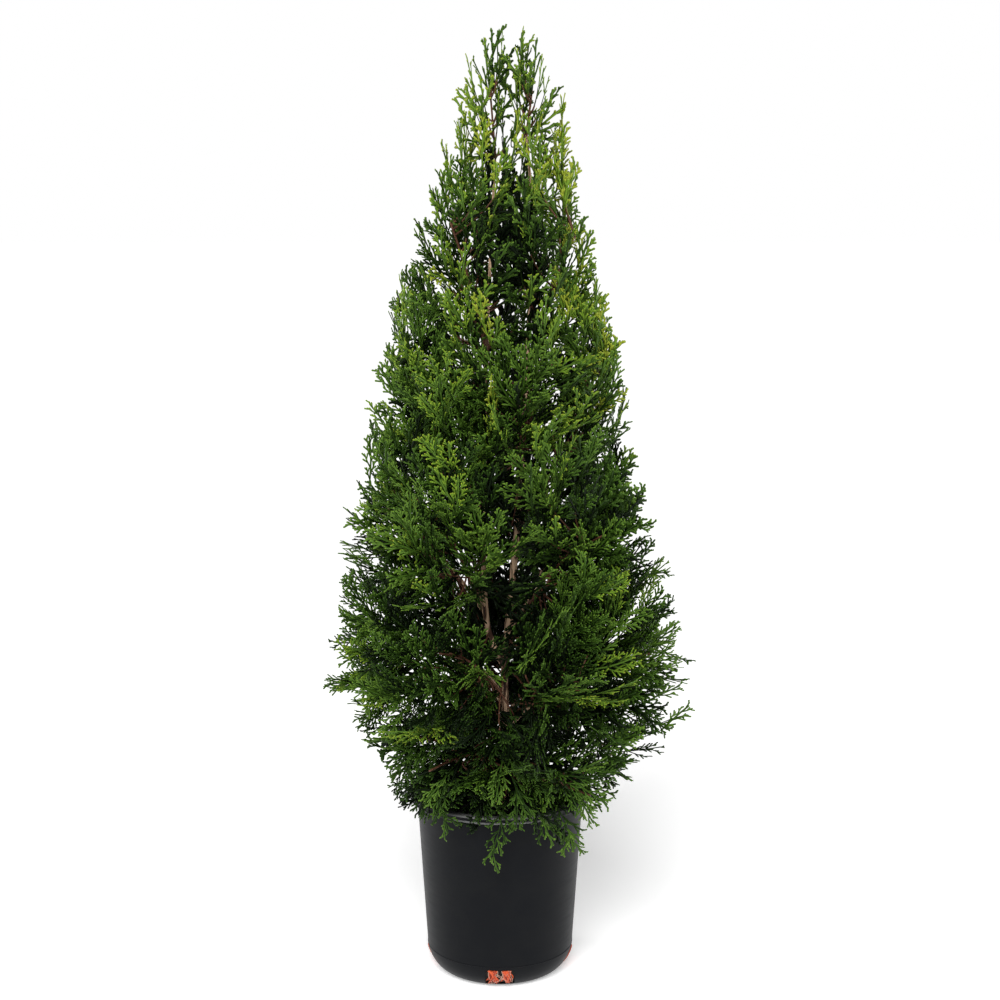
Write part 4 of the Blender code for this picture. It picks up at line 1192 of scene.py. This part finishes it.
class ArborvitaeStage(bpy.types.PropertyGroup):
    distance: bpy.props.FloatProperty(
        name="Camera distance",
        description="From the camera to the pot's axis",
        default=CAMERA_DISTANCE,
        unit="LENGTH",
    )
    height: bpy.props.FloatProperty(
        name="Camera height",
        description="Height of the camera above the floor",
        default=CAMERA_HEIGHT,
        unit="LENGTH",
    )
    tilt: bpy.props.FloatProperty(
        name="Camera tilt",
        description="How far the camera looks down",
        default=math.radians(10.2),
        subtype="ANGLE",
    )
    lens: bpy.props.FloatProperty(name="Lens", description="Focal length in millimetres", default=72.0)
    key: bpy.props.FloatProperty(
        name="Key light", description="Strength of the broad front light", default=3.5
    )
    fill: bpy.props.FloatProperty(
        name="Side light", description="Power of the side softboxes", default=17.0, unit="POWER"
    )
    ambient: bpy.props.FloatProperty(
        name="Room light", description="Strength of the white surroundings", default=0.07
    )


class ArborvitaeMakePot(bpy.types.Operator):
    """Makes the nursery pot: rounded foot, drain holes, tapering wall and a lip with two beads"""

    bl_idname = "arborvitae.make_pot"
    bl_label = "Pot"

    def execute(self, context):
        pot = turned("nursery_pot", pot_profile(), POT_SIDES)
        for index in range(len(DRAIN_NAMES)):
            cut(pot, drain_cutter(index))
        select_only(pot)
        bpy.ops.object.shade_smooth_by_angle(angle=SMOOTH_ANGLE)
        dress(pot, pot_finish(context.scene.arborvitae_pot), "pot_plastic", "pot")
        return {"FINISHED"}


class ArborvitaeMakeMix(bpy.types.Operator):
    """Makes the potting mix with its crumbs and pale straws"""

    bl_idname = "arborvitae.make_mix"
    bl_label = "Potting mix"

    def execute(self, context):
        settings = context.scene.arborvitae_mix
        mix = turned("potting_soil", mix_profile(), MIX_SIDES)
        for vertex in mix.data.vertices:
            co = vertex.co
            if co.z > MIX_EDGE_Z - 0.001 and co.xy.length < MIX_RADIUS - 0.002:
                co.z += MIX_RELIEF * noise.noise(Vector((co.x, co.y, 0.0)) * 150) - MIX_RELIEF / 2
        mix.data.shade_smooth()
        dress(mix, mix_finish(settings), "potting_mix", "potting_mix")
        dress(scatter_crumbs(settings), None, "potting_mix")
        return {"FINISHED"}


class ArborvitaeMakeRoots(bpy.types.Operator):
    """Makes the matted roots that show in the four drain holes"""

    bl_idname = "arborvitae.make_roots"
    bl_label = "Roots in the drain holes"

    def execute(self, context):
        settings = context.scene.arborvitae_roots
        finishes = [
            Finish("matted_root", settings.root_colour, 0.55).material,
            Finish("old_root", settings.old_colour, 0.6).material,
            Finish("rootlet", settings.tip_colour, 0.5).material,
        ]
        for index, (name, (mats, rootlets)) in enumerate(DRAIN_ROOTS.items()):
            azimuth = math.tau * index / len(DRAIN_ROOTS)
            joined = grow_roots(azimuth, mats, rootlets, random.Random(SEED + index))
            dress(joined.build(f"roots_{name}", finishes), None, "root_fibre", f"root_mat_{name}")
        return {"FINISHED"}


class ArborvitaeMakeBark(bpy.types.Operator):
    """Makes the trunk, the second leader and the boughs, with the relief of their stringy bark"""

    bl_idname = "arborvitae.make_bark"
    bl_label = "Trunk and boughs"

    def execute(self, context):
        settings = context.scene.arborvitae_bark
        trunk, leader = make_uprights()
        finish = bark_finish("bark", settings)
        piece = limb_object("trunk_bark", trunk, TRUNK_SIDES, settings.relief)
        dress(piece, finish, "bark", "trunk")
        piece = limb_object("second_leader_bark", leader, LEADER_SIDES, settings.relief * 0.7)
        dress(piece, finish, "bark", "second_leader")
        for name, _, bough, _ in plan_masses(trunk, leader):
            if bough:
                piece = limb_object(f"{name}_bough_bark", bough, BOUGH_SIDES, settings.relief * 0.4)
                dress(piece, finish, "bark", f"{name}_bough")
        return {"FINISHED"}


def make_uprights():
    """The trunk and the second leader."""
    trunk = upright_limb(TRUNK_GUIDE, TRUNK_FOOT_RADIUS, TRUNK_TIP_RADIUS, TRUNK_STEPS, FLARE_RADIUS)
    leader = upright_limb(LEADER_GUIDE, LEADER_FOOT_RADIUS, LEADER_TIP_RADIUS, LEADER_STEPS)
    return trunk, leader


class ArborvitaeMakeFoliage(bpy.types.Operator):
    """Makes each mass of foliage: plumes that leave its stem, and the leafy sprays on them"""

    bl_idname = "arborvitae.make_foliage"
    bl_label = "Foliage"

    def execute(self, context):
        templates = spray_templates()
        finishes = [leaf_finish(name, colour) for name, colour in TONES]
        wood = twig_finish()
        seed = context.scene.arborvitae_foliage.seed
        twigs = {tier.name: Joined() for tier in TIERS}
        for name, cell, _, stem in plan_masses(*make_uprights()):
            rng = random.Random(f"{seed} {name}")
            leaves = Joined()
            wooden = twigs[cell.tier.name]
            wooden.add(*tube(stem.points, stem.radii, 6, 0))
            plumes = [seen_plume(*place, cell.tier.shape) for mass, *place in SEEN_PLUMES if mass == name]
            for index in range(cell.tier.plumes):
                layer = LAYERS[index % len(LAYERS)]
                plumes.append(plan_plume(cell, stem, index, cell.tier.plumes, layer, rng))
            inner = INNER_PLUMES[cell.tier.name]
            for index in range(inner):
                layer = INNER_LAYERS[index % len(INNER_LAYERS)]
                plumes.append(plan_plume(cell, stem, index, inner, layer, rng))
            for plume in plumes:
                grow_plume(leaves, wooden, plume, cell.tier, templates, rng)
            dress(leaves.build(f"{name}_leaves", finishes), None, "foliage", name)
        for tier_name, joined in twigs.items():
            dress(joined.build(f"{tier_name}_twigs", [wood]), None, "bark")
        return {"FINISHED"}


class ArborvitaeMakeStage(bpy.types.Operator):
    """Makes the pale floor, the soft studio light and the camera"""

    bl_idname = "arborvitae.make_stage"
    bl_label = "Stage"

    def execute(self, context):
        settings = context.scene.arborvitae_stage
        make_camera(settings)
        make_floor()
        make_lights(settings)
        return {"FINISHED"}


def make_camera(settings):
    data = bpy.data.cameras.new("camera")
    data.lens = settings.lens
    data.sensor_width = 36.0
    place = (0.0, -settings.distance, settings.height)
    turn = (math.radians(90) - settings.tilt, 0.0, 0.0)
    bpy.context.scene.camera = placed_object("camera", data, place, turn)


def make_floor():
    deselect()
    bpy.ops.mesh.primitive_plane_add(size=40.0, location=(0, 0, -0.0002))
    floor = bpy.context.object
    floor.name = "floor"
    glow = {"Emission_Color": (1.0, 1.0, 1.0), "Emission_Strength": FLOOR_GLOW}
    floor.data.materials.append(Finish("pale_floor", (0.92, 0.92, 0.92), 0.9, **glow).material)


def softbox(name, place, power):
    """An upright soft light that points at the crown."""
    data = bpy.data.lights.new(name, "AREA")
    data.shape = "RECTANGLE"
    data.size, data.size_y = SOFTBOX_SIZE
    data.energy = power
    aim = Vector((0, 0, 0.5)) - Vector(place)
    placed_object(name, data, place, aim.to_track_quat("-Z", "Y").to_euler())


def make_lights(settings):
    """A broad front light, a softbox at each side, and a room that the camera sees as white."""
    broad = bpy.data.lights.new("front_light", "SUN")
    broad.energy = settings.key
    broad.angle = SUN_SIZE
    placed_object("front_light", broad, rotation=(SUN_TILT, 0.0, SUN_TURN))
    softbox("left_softbox", (-1.9, 0.3, 0.8), settings.fill)
    softbox("right_softbox", (1.9, 0.1, 0.8), settings.fill)
    world = bpy.data.worlds.new("white_room")
    world.use_nodes = True
    nodes = world.node_tree.nodes
    background = nodes["Background"]
    background.inputs["Color"].default_value = (1, 1, 1, 1)
    path = nodes.new("ShaderNodeLightPath")
    strength = nodes.new("ShaderNodeMapRange")
    strength.inputs["To Min"].default_value = settings.ambient
    strength.inputs["To Max"].default_value = 1.0
    world.node_tree.links.new(path.outputs["Is Camera Ray"], strength.inputs["Value"])
    world.node_tree.links.new(strength.outputs["Result"], background.inputs["Strength"])
    bpy.context.scene.world = world
    bpy.context.scene.view_settings.view_transform = "Standard"


class ArborvitaePanel(bpy.types.Panel):
    """Lists the steps that dress the arborvitae"""

    bl_idname = "VIEW3D_PT_arborvitae"
    bl_label = "Arborvitae"
    bl_space_type = "VIEW_3D"
    bl_region_type = "UI"
    bl_category = "Arborvitae"

    def draw(self, context):
        for operator in OPERATORS:
            self.layout.operator(operator.bl_idname)


OPERATORS = (
    ArborvitaeMakePot,
    ArborvitaeMakeMix,
    ArborvitaeMakeRoots,
    ArborvitaeMakeBark,
    ArborvitaeMakeFoliage,
    ArborvitaeMakeStage,
)
GROUPS = {
    "arborvitae_pot": ArborvitaePot,
    "arborvitae_mix": ArborvitaeMix,
    "arborvitae_roots": ArborvitaeRoots,
    "arborvitae_bark": ArborvitaeBark,
    "arborvitae_foliage": ArborvitaeFoliage,
    "arborvitae_stage": ArborvitaeStage,
}


def register():
    for group in (*GROUPS.values(), *OPERATORS, ArborvitaePanel):
        bpy.utils.register_class(group)
    for label, group in GROUPS.items():
        setattr(bpy.types.Scene, label, bpy.props.PointerProperty(type=group))


def unregister():
    for label in GROUPS:
        delattr(bpy.types.Scene, label)
    for group in reversed((*GROUPS.values(), *OPERATORS, ArborvitaePanel)):
        bpy.utils.unregister_class(group)


def main():
    register()
    bpy.ops.arborvitae.make_stage()
    bpy.ops.arborvitae.make_pot()
    bpy.ops.arborvitae.make_mix()
    bpy.ops.arborvitae.make_roots()
    bpy.ops.arborvitae.make_bark()
    bpy.ops.arborvitae.make_foliage()


if __name__ == "__main__":
    main()
